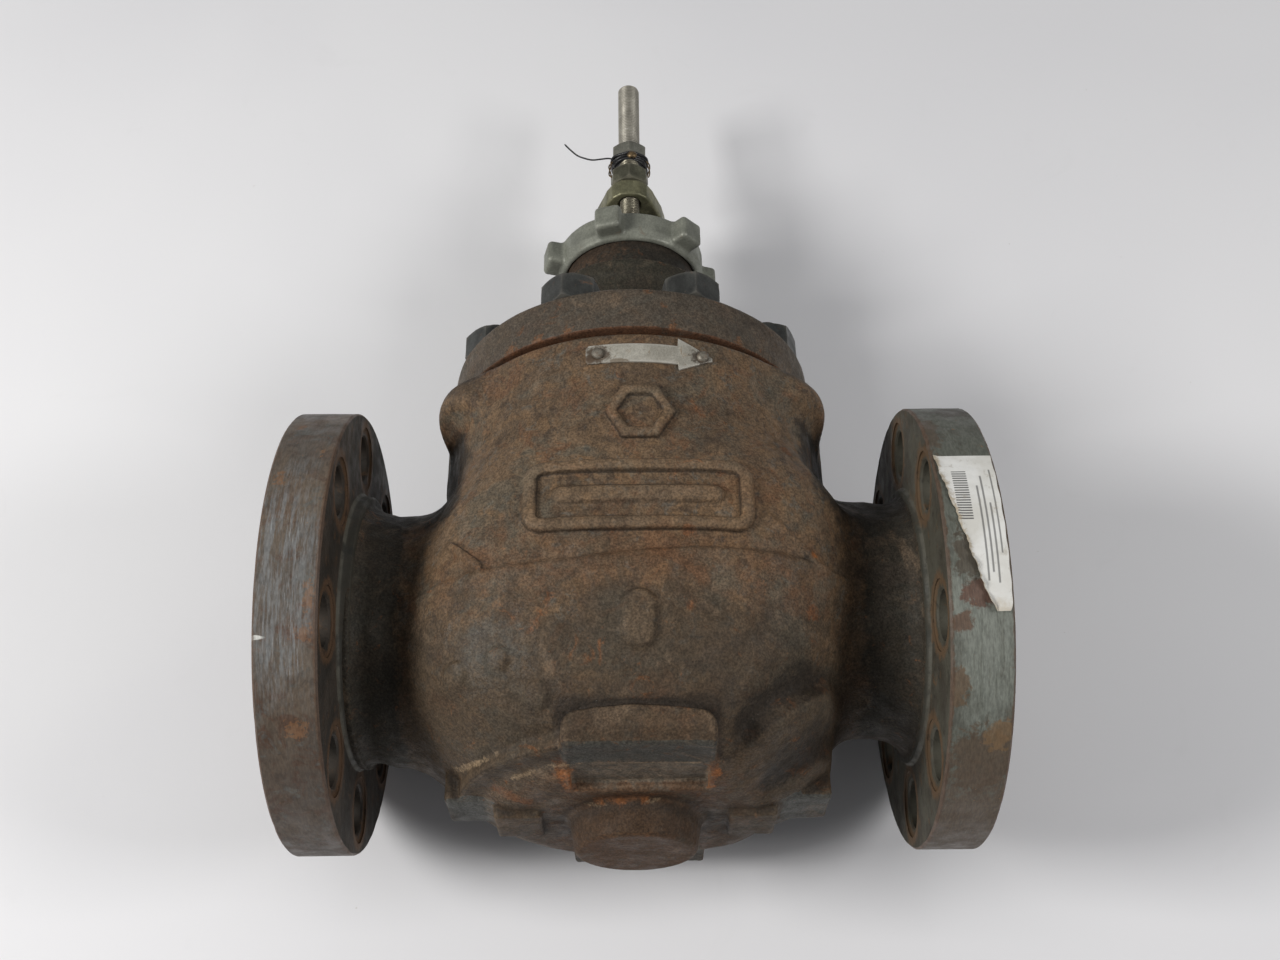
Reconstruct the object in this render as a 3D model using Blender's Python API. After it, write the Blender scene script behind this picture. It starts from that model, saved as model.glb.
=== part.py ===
"""A flanged globe-style control valve without its actuator: body, bonnet, cage-guided trim, packing,
fasteners, yoke locknut, flow plate and label.

Units are metres and +Z is up. The origin is the centre of the bottom boss's flat face, on the stem
axis (Z). Flow runs from the inlet at -X to the outlet at +X. The dimensions below are millimetres
measured from the flow axis, and every piece hangs from the empty valve_axes, which stands
AXIS_HEIGHT above the origin where the flow axis crosses the stem axis. The plug is modelled seated;
the stem group is parented to an empty on the stem axis and lifts by TRAVEL.
"""

import math

import bmesh
import bpy
from mathutils import Matrix, Vector

MM = 0.001
GAP = 0.3

# ---- flanges and body
FLANGE_R = 104.775
FLANGE_BACK = 130.2
FLANGE_FACE = 157.2
RAISED_FACE = 158.75
RAISED_R = 63.5
PORT_R = 38.1
BOLT_CIRCLE_R = 84.05
BOLT_HOLE_R = 11.1
FLANGE_HOLES = 8
INLET_NECK_R, INLET_NECK_Z = 59.5, -5.0
OUTLET_NECK_R, OUTLET_NECK_Z = 57.5, 3.5
BODY_TOP = 105.8
BODY_BOTTOM = -110.0
AXIS_HEIGHT = -BODY_BOTTOM
BOSS_R = 27.0
BODY_BORE_R = 60.0
LEDGE_Z = 88.0

# ---- bonnet
BONNET_BOTTOM = 112.0
BONNET_TOP_FLANGE = 136.0
BONNET_R = 92.0
SPIGOT_R = 59.6
SPIGOT_BOTTOM = 97.6
NECK_R = 45.0
SHOULDER_Z = 192.0
YOKE_BOSS_R = 35.7
BONNET_TOP = 232.0
BOX_R = 11.4
BOX_FLOOR = 150.1
STEM_HOLE_R = 6.95

# ---- body studs and nuts
STUD_CIRCLE_R = 76.0
STUDS = 8
STUD_R = 7.94
STUD_HOLE_FLOOR = 77.0
STUD_BOTTOM, STUD_TOP = 77.5, 157.2
NUT_AF = 27.0
NUT_H = 15.4

# ---- trim
SEAT_PORT_R = 43.65
CAGE_IN_R, CAGE_OUT_R = 46.2, 52.5
PLUG_R = 45.9
TRAVEL = 38.1

# ---- packing
PACK_OUT_R = 11.1
PACK_IN_R = 6.65
STEM_R = 6.35
STEM_TOP = 362.0
PACK_STUD_Y = 22.0
PACK_STUD_R = 5.55
GLAND_Z0, GLAND_Z1 = 251.0, 262.0

SEG_BIG, SEG_MID, SEG_SMALL = 32, 24, 16


# ------------------------------------------------------------------ scene and materials
for old in list(bpy.data.objects):
    bpy.data.objects.remove(old, do_unlink=True)

MATERIALS = {
    "body_casting": ((0.17, 0.12, 0.085), 0.72, 0.55),
    "bonnet_casting": ((0.18, 0.14, 0.11), 0.70, 0.55),
    "dark_steel": ((0.06, 0.065, 0.07), 0.45, 0.85),
    "zinc_steel": ((0.50, 0.54, 0.52), 0.42, 0.90),
    "yellow_zinc": ((0.43, 0.42, 0.27), 0.42, 0.85),
    "stainless": ((0.60, 0.58, 0.53), 0.33, 1.00),
    "hardened_trim": ((0.52, 0.52, 0.53), 0.28, 1.00),
    "graphite": ((0.05, 0.05, 0.055), 0.65, 0.10),
    "white_ring": ((0.82, 0.82, 0.80), 0.50, 0.00),
    "felt": ((0.40, 0.37, 0.31), 0.95, 0.00),
    "black_wire": ((0.02, 0.02, 0.022), 0.55, 0.20),
    "aluminium_plate": ((0.78, 0.79, 0.78), 0.38, 0.90),
    "paper_label": ((0.86, 0.86, 0.85), 0.60, 0.00),
}


def material(name):
    mat = bpy.data.materials.get(name)
    if mat is None:
        colour, roughness, metallic = MATERIALS[name]
        mat = bpy.data.materials.new(name)
        mat.use_nodes = True
        bsdf = mat.node_tree.nodes["Principled BSDF"]
        bsdf.inputs["Base Color"].default_value = (*colour, 1.0)
        bsdf.inputs["Roughness"].default_value = roughness
        bsdf.inputs["Metallic"].default_value = metallic
        mat.diffuse_color = (*colour, 1.0)
    return mat


def new_object(name, bm, mat=None, smooth=True, parent=None):
    """Scales a millimetre bmesh to metres and links it as one object."""
    bmesh.ops.recalc_face_normals(bm, faces=bm.faces)
    bmesh.ops.scale(bm, vec=(MM, MM, MM), verts=bm.verts)
    mesh = bpy.data.meshes.new(name)
    bm.to_mesh(mesh)
    bm.free()
    if smooth:
        mesh.shade_smooth()
        mesh.set_sharp_from_angle(angle=math.radians(32))
    obj = bpy.data.objects.new(name, mesh)
    bpy.context.scene.collection.objects.link(obj)
    if mat:
        mesh.materials.append(material(mat))
    if parent:
        obj.parent = parent
    return obj


def boolean(obj, tool, operation="DIFFERENCE"):
    """Applies one exact Boolean and removes its tool."""
    tool.hide_render = True
    tool.display_type = "WIRE"
    mod = obj.modifiers.new("cut", "BOOLEAN")
    mod.operation = operation
    mod.solver = "EXACT"
    mod.object = tool
    bpy.context.view_layer.update()
    graph = bpy.context.evaluated_depsgraph_get()
    result = bpy.data.meshes.new_from_object(obj.evaluated_get(graph))
    obj.modifiers.remove(mod)
    old = obj.data
    mats = [m for m in old.materials]
    result.materials.clear()
    for m in mats:
        result.materials.append(m)
    for poly in result.polygons:
        poly.material_index = 0
    result.name = old.name
    obj.data = result
    result.shade_smooth()
    result.set_sharp_from_angle(angle=math.radians(32))
    bpy.data.objects.remove(tool, do_unlink=True)
    return obj


# ------------------------------------------------------------------ shape helpers (millimetres)
def spin_into(bm, profile, segs, matrix=None, phase=0.0):
    """Revolves (radius, height) points about Z. A radius of 0 makes a pole; with no poles the
    profile is closed into a ring."""
    rings = []
    for r, z in profile:
        if r <= 1e-6:
            rings.append([bm.verts.new((0, 0, z))])
        else:
            rings.append(
                [
                    bm.verts.new(
                        (
                            r * math.cos(2 * math.pi * k / segs + phase),
                            r * math.sin(2 * math.pi * k / segs + phase),
                            z,
                        )
                    )
                    for k in range(segs)
                ]
            )
    pairs = list(zip(rings[:-1], rings[1:]))
    if len(rings[0]) > 1 and len(rings[-1]) > 1:
        pairs.append((rings[-1], rings[0]))
    for a, b in pairs:
        for k in range(segs):
            n = (k + 1) % segs
            if len(a) == 1:
                bm.faces.new((a[0], b[k], b[n]))
            elif len(b) == 1:
                bm.faces.new((a[k], b[0], a[n]))
            else:
                bm.faces.new((a[k], b[k], b[n], a[n]))
    if matrix is not None:
        bmesh.ops.transform(bm, matrix=matrix, verts=[v for ring in rings for v in ring])


def turned(name, profile, mat=None, segs=SEG_MID, parent=None, matrix=None):
    bm = bmesh.new()
    spin_into(bm, profile, segs, matrix)
    return new_object(name, bm, mat, parent=parent)


def rod_into(bm, x, y, r, z0, z1, segs=SEG_SMALL, matrix=None):
    place = Matrix.Translation((x, y, 0))
    spin_into(bm, [(0, z0), (r, z0), (r, z1), (0, z1)], segs, (matrix @ place) if matrix else place)


def rods(places, r, z0, z1, segs=SEG_SMALL, matrix=None):
    """Several separate cylinders in one cutter."""
    bm = bmesh.new()
    for x, y in places:
        rod_into(bm, x, y, r, z0, z1, segs, matrix)
    return new_object("cutter", bm, smooth=False)


def prism_into(bm, outline, z0, z1, matrix=None):
    low = [bm.verts.new((x, y, z0)) for x, y in outline]
    high = [bm.verts.new((x, y, z1)) for x, y in outline]
    bm.faces.new(low[::-1])
    bm.faces.new(high)
    n = len(outline)
    for k in range(n):
        bm.faces.new((low[k], low[(k + 1) % n], high[(k + 1) % n], high[k]))
    if matrix is not None:
        bmesh.ops.transform(bm, matrix=matrix, verts=low + high)


def loft_into(bm, rings):
    """Skins a list of closed rings of 3-D points and caps both ends."""
    rows = [[bm.verts.new(p) for p in ring] for ring in rings]
    n = len(rows[0])
    for a, b in zip(rows[:-1], rows[1:]):
        for k in range(n):
            bm.faces.new((a[k], a[(k + 1) % n], b[(k + 1) % n], b[k]))
    bm.faces.new(rows[0][::-1])
    bm.faces.new(rows[-1])


def loft(name, rings, mat=None):
    bm = bmesh.new()
    loft_into(bm, rings)
    return new_object(name, bm, mat)


def passage_rings(stations, segs=20):
    """Elliptical sections along a path in the XZ plane: (x, z, tilt in degrees, half height, half width)."""
    rings = []
    for x, z, tilt, high, wide in stations:
        t = math.radians(tilt)
        up = Vector((-math.sin(t), 0, math.cos(t)))
        ring = []
        for k in range(segs):
            a = 2 * math.pi * k / segs
            p = Vector((x, 0, z)) + up * (high * math.cos(a)) + Vector((0, wide * math.sin(a), 0))
            ring.append(p)
        rings.append(ring)
    return rings


def circle_places(radius, count, first_deg):
    return [
        (
            radius * math.cos(math.radians(first_deg + 360 * k / count)),
            radius * math.sin(math.radians(first_deg + 360 * k / count)),
        )
        for k in range(count)
    ]


def hex_outline(across_flats, turn_deg=0.0, x=0.0, y=0.0):
    r = across_flats / 2 / math.cos(math.pi / 6)
    return [
        (
            x + r * math.cos(math.radians(turn_deg) + k * math.pi / 3),
            y + r * math.sin(math.radians(turn_deg) + k * math.pi / 3),
        )
        for k in range(6)
    ]


def box_into(bm, low, high, bevel=0.0):
    part = bmesh.new()
    bmesh.ops.create_cube(part, size=1.0)
    size = [h - l for l, h in zip(low, high)]
    centre = [(l + h) / 2 for l, h in zip(low, high)]
    bmesh.ops.scale(part, vec=size, verts=part.verts)
    bmesh.ops.translate(part, vec=centre, verts=part.verts)
    if bevel:
        bmesh.ops.bevel(part, geom=part.edges[:], offset=bevel, segments=1, affect="EDGES")
    mesh = bpy.data.meshes.new("tmp")
    part.to_mesh(mesh)
    part.free()
    bm.from_mesh(mesh)
    bpy.data.meshes.remove(mesh)


# ------------------------------------------------------------------ valve body
# Rows of the central casting from bottom to top: height, half width towards the inlet, half width
# towards the outlet, half width along Y, and the exponent of the plan curve (2 is an ellipse).
BODY_ROWS = (
    (-94.5, 58.0, 58.0, 56.0, 2.0),
    (-91.0, 67.0, 69.0, 64.0, 2.0),
    (-79.0, 86.0, 88.0, 80.0, 2.3),
    (-71.0, 91.5, 91.0, 84.5, 2.5),
    (-55.0, 100.5, 92.0, 91.0, 2.8),
    (-38.0, 105.0, 93.5, 95.0, 3.0),
    (-18.0, 107.0, 98.5, 97.0, 3.0),
    (5.0, 103.0, 105.0, 97.5, 3.0),
    (27.0, 96.0, 108.0, 96.5, 3.0),
    (42.0, 91.5, 105.5, 96.0, 2.6),
    (60.0, 93.0, 100.0, 95.8, 2.1),
    (78.0, 95.0, 97.5, 95.8, 2.0),
    (84.0, 95.0, 97.5, 95.8, 2.0),
    (BODY_TOP, 95.0, 97.5, 95.8, 2.0),
)
LOBE_ANGLE, LOBE_WIDTH, LOBE_OUT = 32.0, 12.0, 9.0


def body_row(z, rx_in, rx_out, ry, power, segs=36):
    """A rounded section; the two top rows swell into four lobes over the outer bonnet studs."""
    ring = []
    for k in range(segs):
        a = 2 * math.pi * k / segs
        c, q = math.cos(a), math.sin(a)
        x = (rx_out if c > 0 else rx_in) * math.copysign(abs(c) ** (2 / power), c)
        y = ry * math.copysign(abs(q) ** (2 / power), q)
        r = math.hypot(x, y)
        if z > 83.0:
            fold = math.degrees(math.atan2(abs(y), abs(x)))
            r += LOBE_OUT * math.exp(-(((fold - LOBE_ANGLE) / LOBE_WIDTH) ** 2))
        at = math.atan2(y, x)
        ring.append((r * math.cos(at), r * math.sin(at), z))
    return ring


def neck_rings(side, radius, centre_z, segs=24):
    """Rows of one end neck, flaring into the bulb and again into the flange."""
    rows = (
        (58.0, radius + 6.0, centre_z * 2.0),
        (84.0, radius + 7.5, centre_z * 1.8),
        (99.0, radius + 3.0, centre_z * 1.4),
        (112.0, radius, centre_z),
        (122.0, radius, centre_z * 0.7),
        (131.5, radius + 2.0, 0.0),
    )
    rings = []
    for x, r, z in rows:
        rings.append(
            [
                (side * x, r * math.sin(2 * math.pi * k / segs), z + r * math.cos(2 * math.pi * k / segs))
                for k in range(segs)
            ]
        )
    return rings


def flange_matrix(side):
    """Turns a profile about Z, heights along Z, into one about X with heights along side*X."""
    return Matrix.Rotation(math.radians(90 * side), 4, "Y")


def make_body():
    body = loft("valve_body", [body_row(*row) for row in BODY_ROWS], "body_casting")
    for side, r, z in ((-1, INLET_NECK_R, INLET_NECK_Z), (1, OUTLET_NECK_R, OUTLET_NECK_Z)):
        boolean(body, loft("neck", neck_rings(side, r, z)), "UNION")
    for side in (-1, 1):
        disc = turned(
            "flange",
            [
                (0, 127.5),
                (70.0, 127.5),
                (71.5, FLANGE_BACK),
                (FLANGE_R, FLANGE_BACK),
                (FLANGE_R, FLANGE_FACE),
                (RAISED_R, FLANGE_FACE),
                (RAISED_R, RAISED_FACE),
                (0, RAISED_FACE),
            ],
            segs=SEG_BIG,
            matrix=flange_matrix(side),
        )
        boolean(body, disc, "UNION")

    # Bottom boss, then the machined feet on the flow axis, their inner ribs and the feet across it.
    boss = turned(
        "boss", [(0, -90), (BOSS_R + 2.2, -90), (BOSS_R + 2.0, -98), (BOSS_R, BODY_BOTTOM), (0, BODY_BOTTOM)][::-1], segs=24
    )
    boolean(body, boss, "UNION")
    bm = bmesh.new()
    for side in (-1, 1):
        lo, hi = sorted((side * 60.0, side * (83.5 if side < 0 else 85.0)))
        box_into(bm, (lo, -13.0, -90.0), (hi, 13.0, -52.0), 2.0)
        lo, hi = sorted((side * 40.0, side * 62.4))
        box_into(bm, (lo, -14.0, -97.5), (hi, 14.0, -82.0), 2.0)
        lo, hi = sorted((side * 50.0, side * 85.0))
        box_into(bm, (-30.0, lo, -90.0), (33.5, hi, -74.0), 2.0)
    for piece in split_bodies(bm):
        boolean(body, piece, "UNION")
    # The machined strip of each cross foot runs back into the round underside.
    for lo, hi in ((-60.0, -39.5), (39.5, 60.0)):
        bm = bmesh.new()
        box_into(bm, (-26.5, lo, -99.0), (30.5, hi, -90.0))
        boolean(body, new_object("strip", bm, smooth=False))

    # Bolt holes of both flanges.
    places = circle_places(BOLT_CIRCLE_R, FLANGE_HOLES, 22.5)
    bm = bmesh.new()
    for side in (-1, 1):
        for x, y in places:
            rod_into(bm, x, y, BOLT_HOLE_R, 120.0, 165.0, 12, flange_matrix(side))
    boolean(body, new_object("holes", bm, smooth=False))

    # Bonnet stud holes.
    boolean(
        body,
        rods(circle_places(STUD_CIRCLE_R, STUDS, 22.5), STUD_R + GAP, STUD_HOLE_FLOOR, BODY_TOP + 10, 12),
    )

    # Upper gallery round the cage, set towards the outlet, then the cage bore, web bore and counterbores.
    boolean(
        body,
        turned(
            "gallery",
            [(0, -12.0), (66.0, -12.0), (69.0, -7.0), (69.0, 50.0), (60.0, 62.0), (0, 62.0)],
            segs=24,
            matrix=Matrix.Translation((8.0, 0, 0)),
        ),
    )
    boolean(
        body,
        turned(
            "bowl",
            [(0, -85.5), (38.0, -84.0), (58.0, -70.0), (66.5, -50.0), (64.0, -28.5), (0, -28.5)],
            segs=24,
            matrix=Matrix.Translation((-4.0, 0, 0)),
        ),
    )
    boolean(
        body,
        turned(
            "bores",
            [
                (0, -40.0),
                (48.3, -40.0),
                (48.3, -18.5),
                (54.3, -18.5),
                (54.3, LEDGE_Z),
                (BODY_BORE_R, LEDGE_Z),
                (BODY_BORE_R, BODY_TOP + 12),
                (0, BODY_TOP + 12),
            ],
            segs=SEG_MID,
        ),
    )
    inlet = (
        (-172.0, 0, 0, PORT_R, PORT_R),
        (-128.0, 0, 0, PORT_R, PORT_R),
        (-106.0, -7.0, -24, 35.0, 40.0),
        (-84.0, -23.0, -42, 31.0, 43.0),
        (-62.0, -46.0, -45, 28.0, 46.0),
        (-36.0, -62.0, -25, 24.0, 42.0),
    )
    outlet = (
        (172.0, 0, 0, PORT_R, PORT_R),
        (128.0, 0, 0, PORT_R, PORT_R),
        (104.0, 7.0, -20, 37.0, 40.0),
        (84.0, 18.0, -25, 34.0, 46.0),
        (56.0, 26.0, 0, 32.0, 48.0),
    )
    for stations in (inlet, outlet):
        boolean(body, loft("passage", passage_rings(stations)))

    # Blind holes for the flow plate's two drive screws.
    boolean(body, plate_screw_holes(1.7, 89.0))
    return body


def split_bodies(bm):
    """Turns each loose shell of a millimetre bmesh into its own helper object."""
    found, seen = [], set()
    bm.verts.ensure_lookup_table()
    for start in bm.verts:
        if start in seen:
            continue
        group, queue = {start}, [start]
        while queue:
            for edge in queue.pop().link_edges:
                for v in edge.verts:
                    if v not in group:
                        group.add(v)
                        queue.append(v)
        seen |= group
        part = bmesh.new()
        new = {v: part.verts.new(v.co) for v in group}
        faces = {f for v in group for f in v.link_faces}
        for f in faces:
            part.faces.new([new[v] for v in f.verts])
        found.append(new_object("shell", part, smooth=False))
    bm.free()
    return found


# ------------------------------------------------------------------ flow plate geometry
PLATE_R0, PLATE_R1 = 96.15, 97.35
SCREW_X = (-15.3, 33.0)
SCREW_Z = (93.3, 94.1)


def plate_screw_holes(r, y_in):
    """Rods across the front wall along Y at both drive screws."""
    bm = bmesh.new()
    turn = Matrix.Rotation(math.radians(90), 4, "X")
    for x, z in zip(SCREW_X, SCREW_Z):
        spin_into(bm, [(0, y_in), (r, y_in), (r, 104.0), (0, 104.0)], 10, Matrix.Translation((x, 0, z)) @ turn)
    return new_object("cutter", bm, smooth=False)


def make_plate():
    """An arrow outline wrapped round the body wall: columns of (x, low z, high z)."""
    shaft = [(x, 88.4, 98.6) for x in (-21.0, -14.0, -7.0, 0.0, 7.0, 14.0, 21.4)]
    head = [
        (x, 94.1 - half, 94.1 + half)
        for x in (21.7, 25.6, 29.6, 33.4, 37.5)
        for half in [0.9 + 8.0 * (37.5 - x) / 15.8]
    ]
    columns = shaft + head
    bm = bmesh.new()

    def point(x, r, z):
        return (x, -math.sqrt(r * r - x * x), z)

    rows = []
    for x, low, high in columns:
        rows.append([bm.verts.new(point(x, r, z)) for r, z in ((PLATE_R0, low), (PLATE_R1, low), (PLATE_R1, high), (PLATE_R0, high))])
    for a, b in zip(rows[:-1], rows[1:]):
        for k in range(4):
            bm.faces.new((a[k], a[(k + 1) % 4], b[(k + 1) % 4], b[k]))
    bm.faces.new(rows[0][::-1])
    bm.faces.new(rows[-1])
    plate = new_object("flow_arrow_plate", bm, "aluminium_plate")
    boolean(plate, plate_screw_holes(1.7, 88.0))
    return plate


def make_plate_screws():
    """Round-head drive screws through the plate: a domed head over a plain shank, axis along Y."""
    turn = Matrix.Rotation(math.radians(90), 4, "X")
    for index, (x, z) in enumerate(zip(SCREW_X, SCREW_Z)):
        seat = math.sqrt(PLATE_R1 * PLATE_R1 - x * x)
        under = seat + (0.85 if index == 0 else 1.5)
        profile = [(0, 90.0), (1.35, 90.0), (1.35, under), (3.0, under), (2.6, under + 1.0), (1.4, under + 1.6), (0, under + 1.75)]
        turned(f"flow_plate_screw_{index + 1}", profile, "dark_steel", segs=10, matrix=Matrix.Translation((x, 0, z)) @ turn)


# ------------------------------------------------------------------ bonnet
def make_bonnet():
    profile = [
        (STEM_HOLE_R, 118.0),
        (22.0, 106.0),
        (40.0, 103.0),
        (44.0, SPIGOT_BOTTOM),
        (SPIGOT_R, SPIGOT_BOTTOM),
        (SPIGOT_R, BONNET_BOTTOM),
        (BONNET_R - 1.0, BONNET_BOTTOM),
        (BONNET_R, BONNET_BOTTOM + 1.0),
        (BONNET_R, BONNET_TOP_FLANGE - 2.0),
        (BONNET_R - 2.0, BONNET_TOP_FLANGE),
        (54.0, BONNET_TOP_FLANGE),
        (48.5, 139.5),
        (46.0, 147.0),
        (NECK_R, 160.0),
        (NECK_R, 180.0),
        (46.5, 184.0),
        (46.5, SHOULDER_Z),
        (YOKE_BOSS_R, SHOULDER_Z),
        (YOKE_BOSS_R, BONNET_TOP - 1.2),
        (YOKE_BOSS_R - 1.2, BONNET_TOP),
        (BOX_R + 1.0, BONNET_TOP),
        (BOX_R, BONNET_TOP - 1.0),
        (BOX_R, BOX_FLOOR),
        (STEM_HOLE_R, BOX_FLOOR),
    ]
    bonnet = turned("bonnet", profile, "bonnet_casting", segs=SEG_MID)
    boolean(bonnet, rods(circle_places(STUD_CIRCLE_R, STUDS, 22.5), STUD_R + 0.8, 105.0, 142.0, 12))
    boolean(bonnet, rods([(0, -PACK_STUD_Y), (0, PACK_STUD_Y)], PACK_STUD_R + GAP, 212.0, 240.0, 12))
    return bonnet


# ------------------------------------------------------------------ fasteners
def stud_mesh(name, r, z0, z1, mat, segs=12):
    c = min(1.2, r * 0.18)
    return turned(
        name,
        [(0, z0), (r, z0), (r, z1 - c), (r - c, z1), (0, z1)],
        mat,
        segs=segs,
    )


def nut(name, across, z0, z1, bore, mat, turn_deg=0.0, parent=None, segs=12):
    """A hexagon with a chamfered outer top, bored through."""
    bm = bmesh.new()
    outer = hex_outline(across, turn_deg)
    cut = 0.92
    levels = ((1.0, z0), (1.0, z1 - across * 0.06), (cut, z1))
    rows = [[bm.verts.new((x * s, y * s, z)) for x, y in outer] for s, z in levels]
    for a, b in zip(rows[:-1], rows[1:]):
        for k in range(6):
            bm.faces.new((a[k], a[(k + 1) % 6], b[(k + 1) % 6], b[k]))
    bm.faces.new(rows[0][::-1])
    bm.faces.new(rows[-1])
    obj = new_object(name, bm, mat, parent=parent)
    boolean(obj, rods([(0, 0)], bore, z0 - 5, z1 + 5, segs))
    return obj


def at_place(obj, x, y):
    obj.location = (x * MM, y * MM, 0)
    return obj


def make_body_fasteners():
    stud = stud_mesh("body_stud_1", STUD_R, STUD_BOTTOM, STUD_TOP, "dark_steel")
    first = nut("body_nut_1", NUT_AF, BONNET_TOP_FLANGE + GAP, BONNET_TOP_FLANGE + GAP + NUT_H, STUD_R + GAP, "dark_steel")
    for k, (x, y) in enumerate(circle_places(STUD_CIRCLE_R, STUDS, 22.5)):
        for kind, source in (("stud", stud), ("nut", first)):
            if k == 0:
                copy = source
            else:
                copy = bpy.data.objects.new(f"body_{kind}_{k + 1}", source.data)
                bpy.context.scene.collection.objects.link(copy)
            at_place(copy, x, y)


# ------------------------------------------------------------------ trim inside the body
def make_trim(stem_group):
    turned("seat_gasket", [(49.0, -18.2), (53.8, -18.2), (53.8, -17.2), (49.0, -17.2)], "graphite")
    turned(
        "seat_ring",
        [
            (45.2, -27.6),
            (48.0, -27.6),
            (48.0, -16.9),
            (54.0, -16.9),
            (54.0, -6.0),
            (46.4, -6.0),
            (SEAT_PORT_R, -8.8),
            (SEAT_PORT_R, -23.0),
        ],
        "hardened_trim",
    )
    cage = turned(
        "cage",
        [
            (46.7, -5.7),
            (CAGE_OUT_R, -5.7),
            (CAGE_OUT_R, LEDGE_Z + GAP),
            (59.5, LEDGE_Z + GAP),
            (59.5, 94.0),
            (CAGE_IN_R + 0.5, 94.0),
            (CAGE_IN_R, 93.0),
            (CAGE_IN_R, -5.2),
        ],
        "hardened_trim",
    )
    for turn_deg in (0, 90):
        bm = bmesh.new()
        outline = [(-19.0, 2.0), (19.0, 2.0), (23.0, 6.0), (23.0, 38.0), (19.0, 42.0), (-19.0, 42.0), (-23.0, 38.0), (-23.0, 6.0)]
        stand = Matrix.Rotation(math.radians(90), 4, "X")
        prism_into(bm, outline, -70.0, 70.0, Matrix.Rotation(math.radians(turn_deg + 45), 4, "Z") @ stand)
        boolean(cage, new_object("window", bm, smooth=False))
    turned("bonnet_gasket", [(48.5, 94.3), (59.4, 94.3), (59.4, 97.3), (48.5, 97.3)], "graphite")

    plug = turned(
        "valve_plug",
        [
            (0, -11.5),
            (41.5, -11.5),
            (43.2, -10.0),
            (43.2, -8.95),
            (PLUG_R, -6.15),
            (PLUG_R, 35.7),
            (42.8, 35.7),
            (42.8, 40.3),
            (PLUG_R, 40.3),
            (PLUG_R, 46.8),
            (PLUG_R - 1.2, 48.0),
            (37.0, 48.0),
            (36.0, 47.0),
            (36.0, 14.0),
            (33.0, 10.0),
            (16.0, 8.0),
            (14.0, 12.0),
            (14.0, 40.0),
            (12.5, 41.5),
            (6.65, 41.5),
            (6.65, -3.0),
            (0, -3.0),
        ],
        "hardened_trim",
        parent=stem_group,
    )
    boolean(plug, rods(circle_places(25.0, 4, 45.0), 5.0, -20.0, 20.0, 10))
    across = Matrix.Rotation(math.radians(90), 4, "X")
    bm = bmesh.new()
    spin_into(bm, [(0, -20.0), (2.2, -20.0), (2.2, 20.0), (0, 20.0)], 10, Matrix.Translation((0, 0, 28.0)) @ across)
    boolean(plug, new_object("cutter", bm, smooth=False))
    turned(
        "plug_pin",
        [(0, -13.2), (1.9, -13.2), (1.9, 13.2), (0, 13.2)],
        "stainless",
        segs=10,
        parent=stem_group,
        matrix=Matrix.Translation((0, 0, 28.0)) @ across,
    )
    ring = turned(
        "piston_ring", [(43.1, 36.1), (46.0, 36.1), (46.0, 39.9), (43.1, 39.9)], "graphite", parent=stem_group
    )
    bm = bmesh.new()
    box_into(bm, (40.0, -1.2, 30.0), (50.0, 1.2, 45.0))
    boolean(ring, new_object("cutter", bm, smooth=False))


def make_stem(stem_group):
    stem = turned(
        "valve_stem",
        [
            (0, -2.6),
            (5.4, -2.6),
            (STEM_R, -1.6),
            (STEM_R, STEM_TOP - 1.2),
            (STEM_R - 1.2, STEM_TOP),
            (0, STEM_TOP),
        ],
        "stainless",
        segs=SEG_SMALL,
        parent=stem_group,
    )
    across = Matrix.Rotation(math.radians(90), 4, "X")
    bm = bmesh.new()
    spin_into(bm, [(0, -20.0), (2.2, -20.0), (2.2, 20.0), (0, 20.0)], 10, Matrix.Translation((0, 0, 28.0)) @ across)
    boolean(stem, new_object("cutter", bm, smooth=False))
    nut("stem_jam_nut_lower", 19.05, 285.0, 293.0, STEM_R + GAP, "dark_steel", 0.0, stem_group, segs=SEG_SMALL)
    nut("stem_jam_nut_upper", 19.05, 303.3, 311.5, STEM_R + GAP, "zinc_steel", 30.0, stem_group, segs=SEG_SMALL)
    make_tag_wire(stem_group)


def make_tag_wire(stem_group):
    """Three turns of wire round the stem between the jam nuts, with one loose end."""
    inner = STEM_R + GAP
    profile = [(inner, 294.2), (9.4, 294.2), (10.6, 295.6), (9.8, 297.0), (10.8, 298.6), (9.9, 300.2), (10.4, 301.6), (9.2, 302.9), (inner, 302.9)]
    wire = turned("tag_wire", profile, "black_wire", segs=SEG_SMALL, parent=stem_group)
    path = [Vector(p) for p in ((-8.6, -3.0, 300.0), (-13.5, -5.0, 300.6), (-21.0, -6.0, 299.4), (-29.5, -6.5, 302.0), (-34.5, -6.5, 307.0), (-38.4, -6.5, 312.4))]
    bm = bmesh.new()
    rings = []
    for k, p in enumerate(path):
        ahead = path[min(k + 1, len(path) - 1)] - path[max(k - 1, 0)]
        ahead.normalize()
        side = ahead.cross(Vector((0, 1, 0))).normalized()
        up = side.cross(ahead).normalized()
        rings.append([p + side * (0.55 * math.cos(a)) + up * (0.55 * math.sin(a)) for a in [j * math.pi / 3 for j in range(6)]])
    loft_into(bm, rings)
    boolean(wire, new_object("tail", bm), "UNION")


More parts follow.
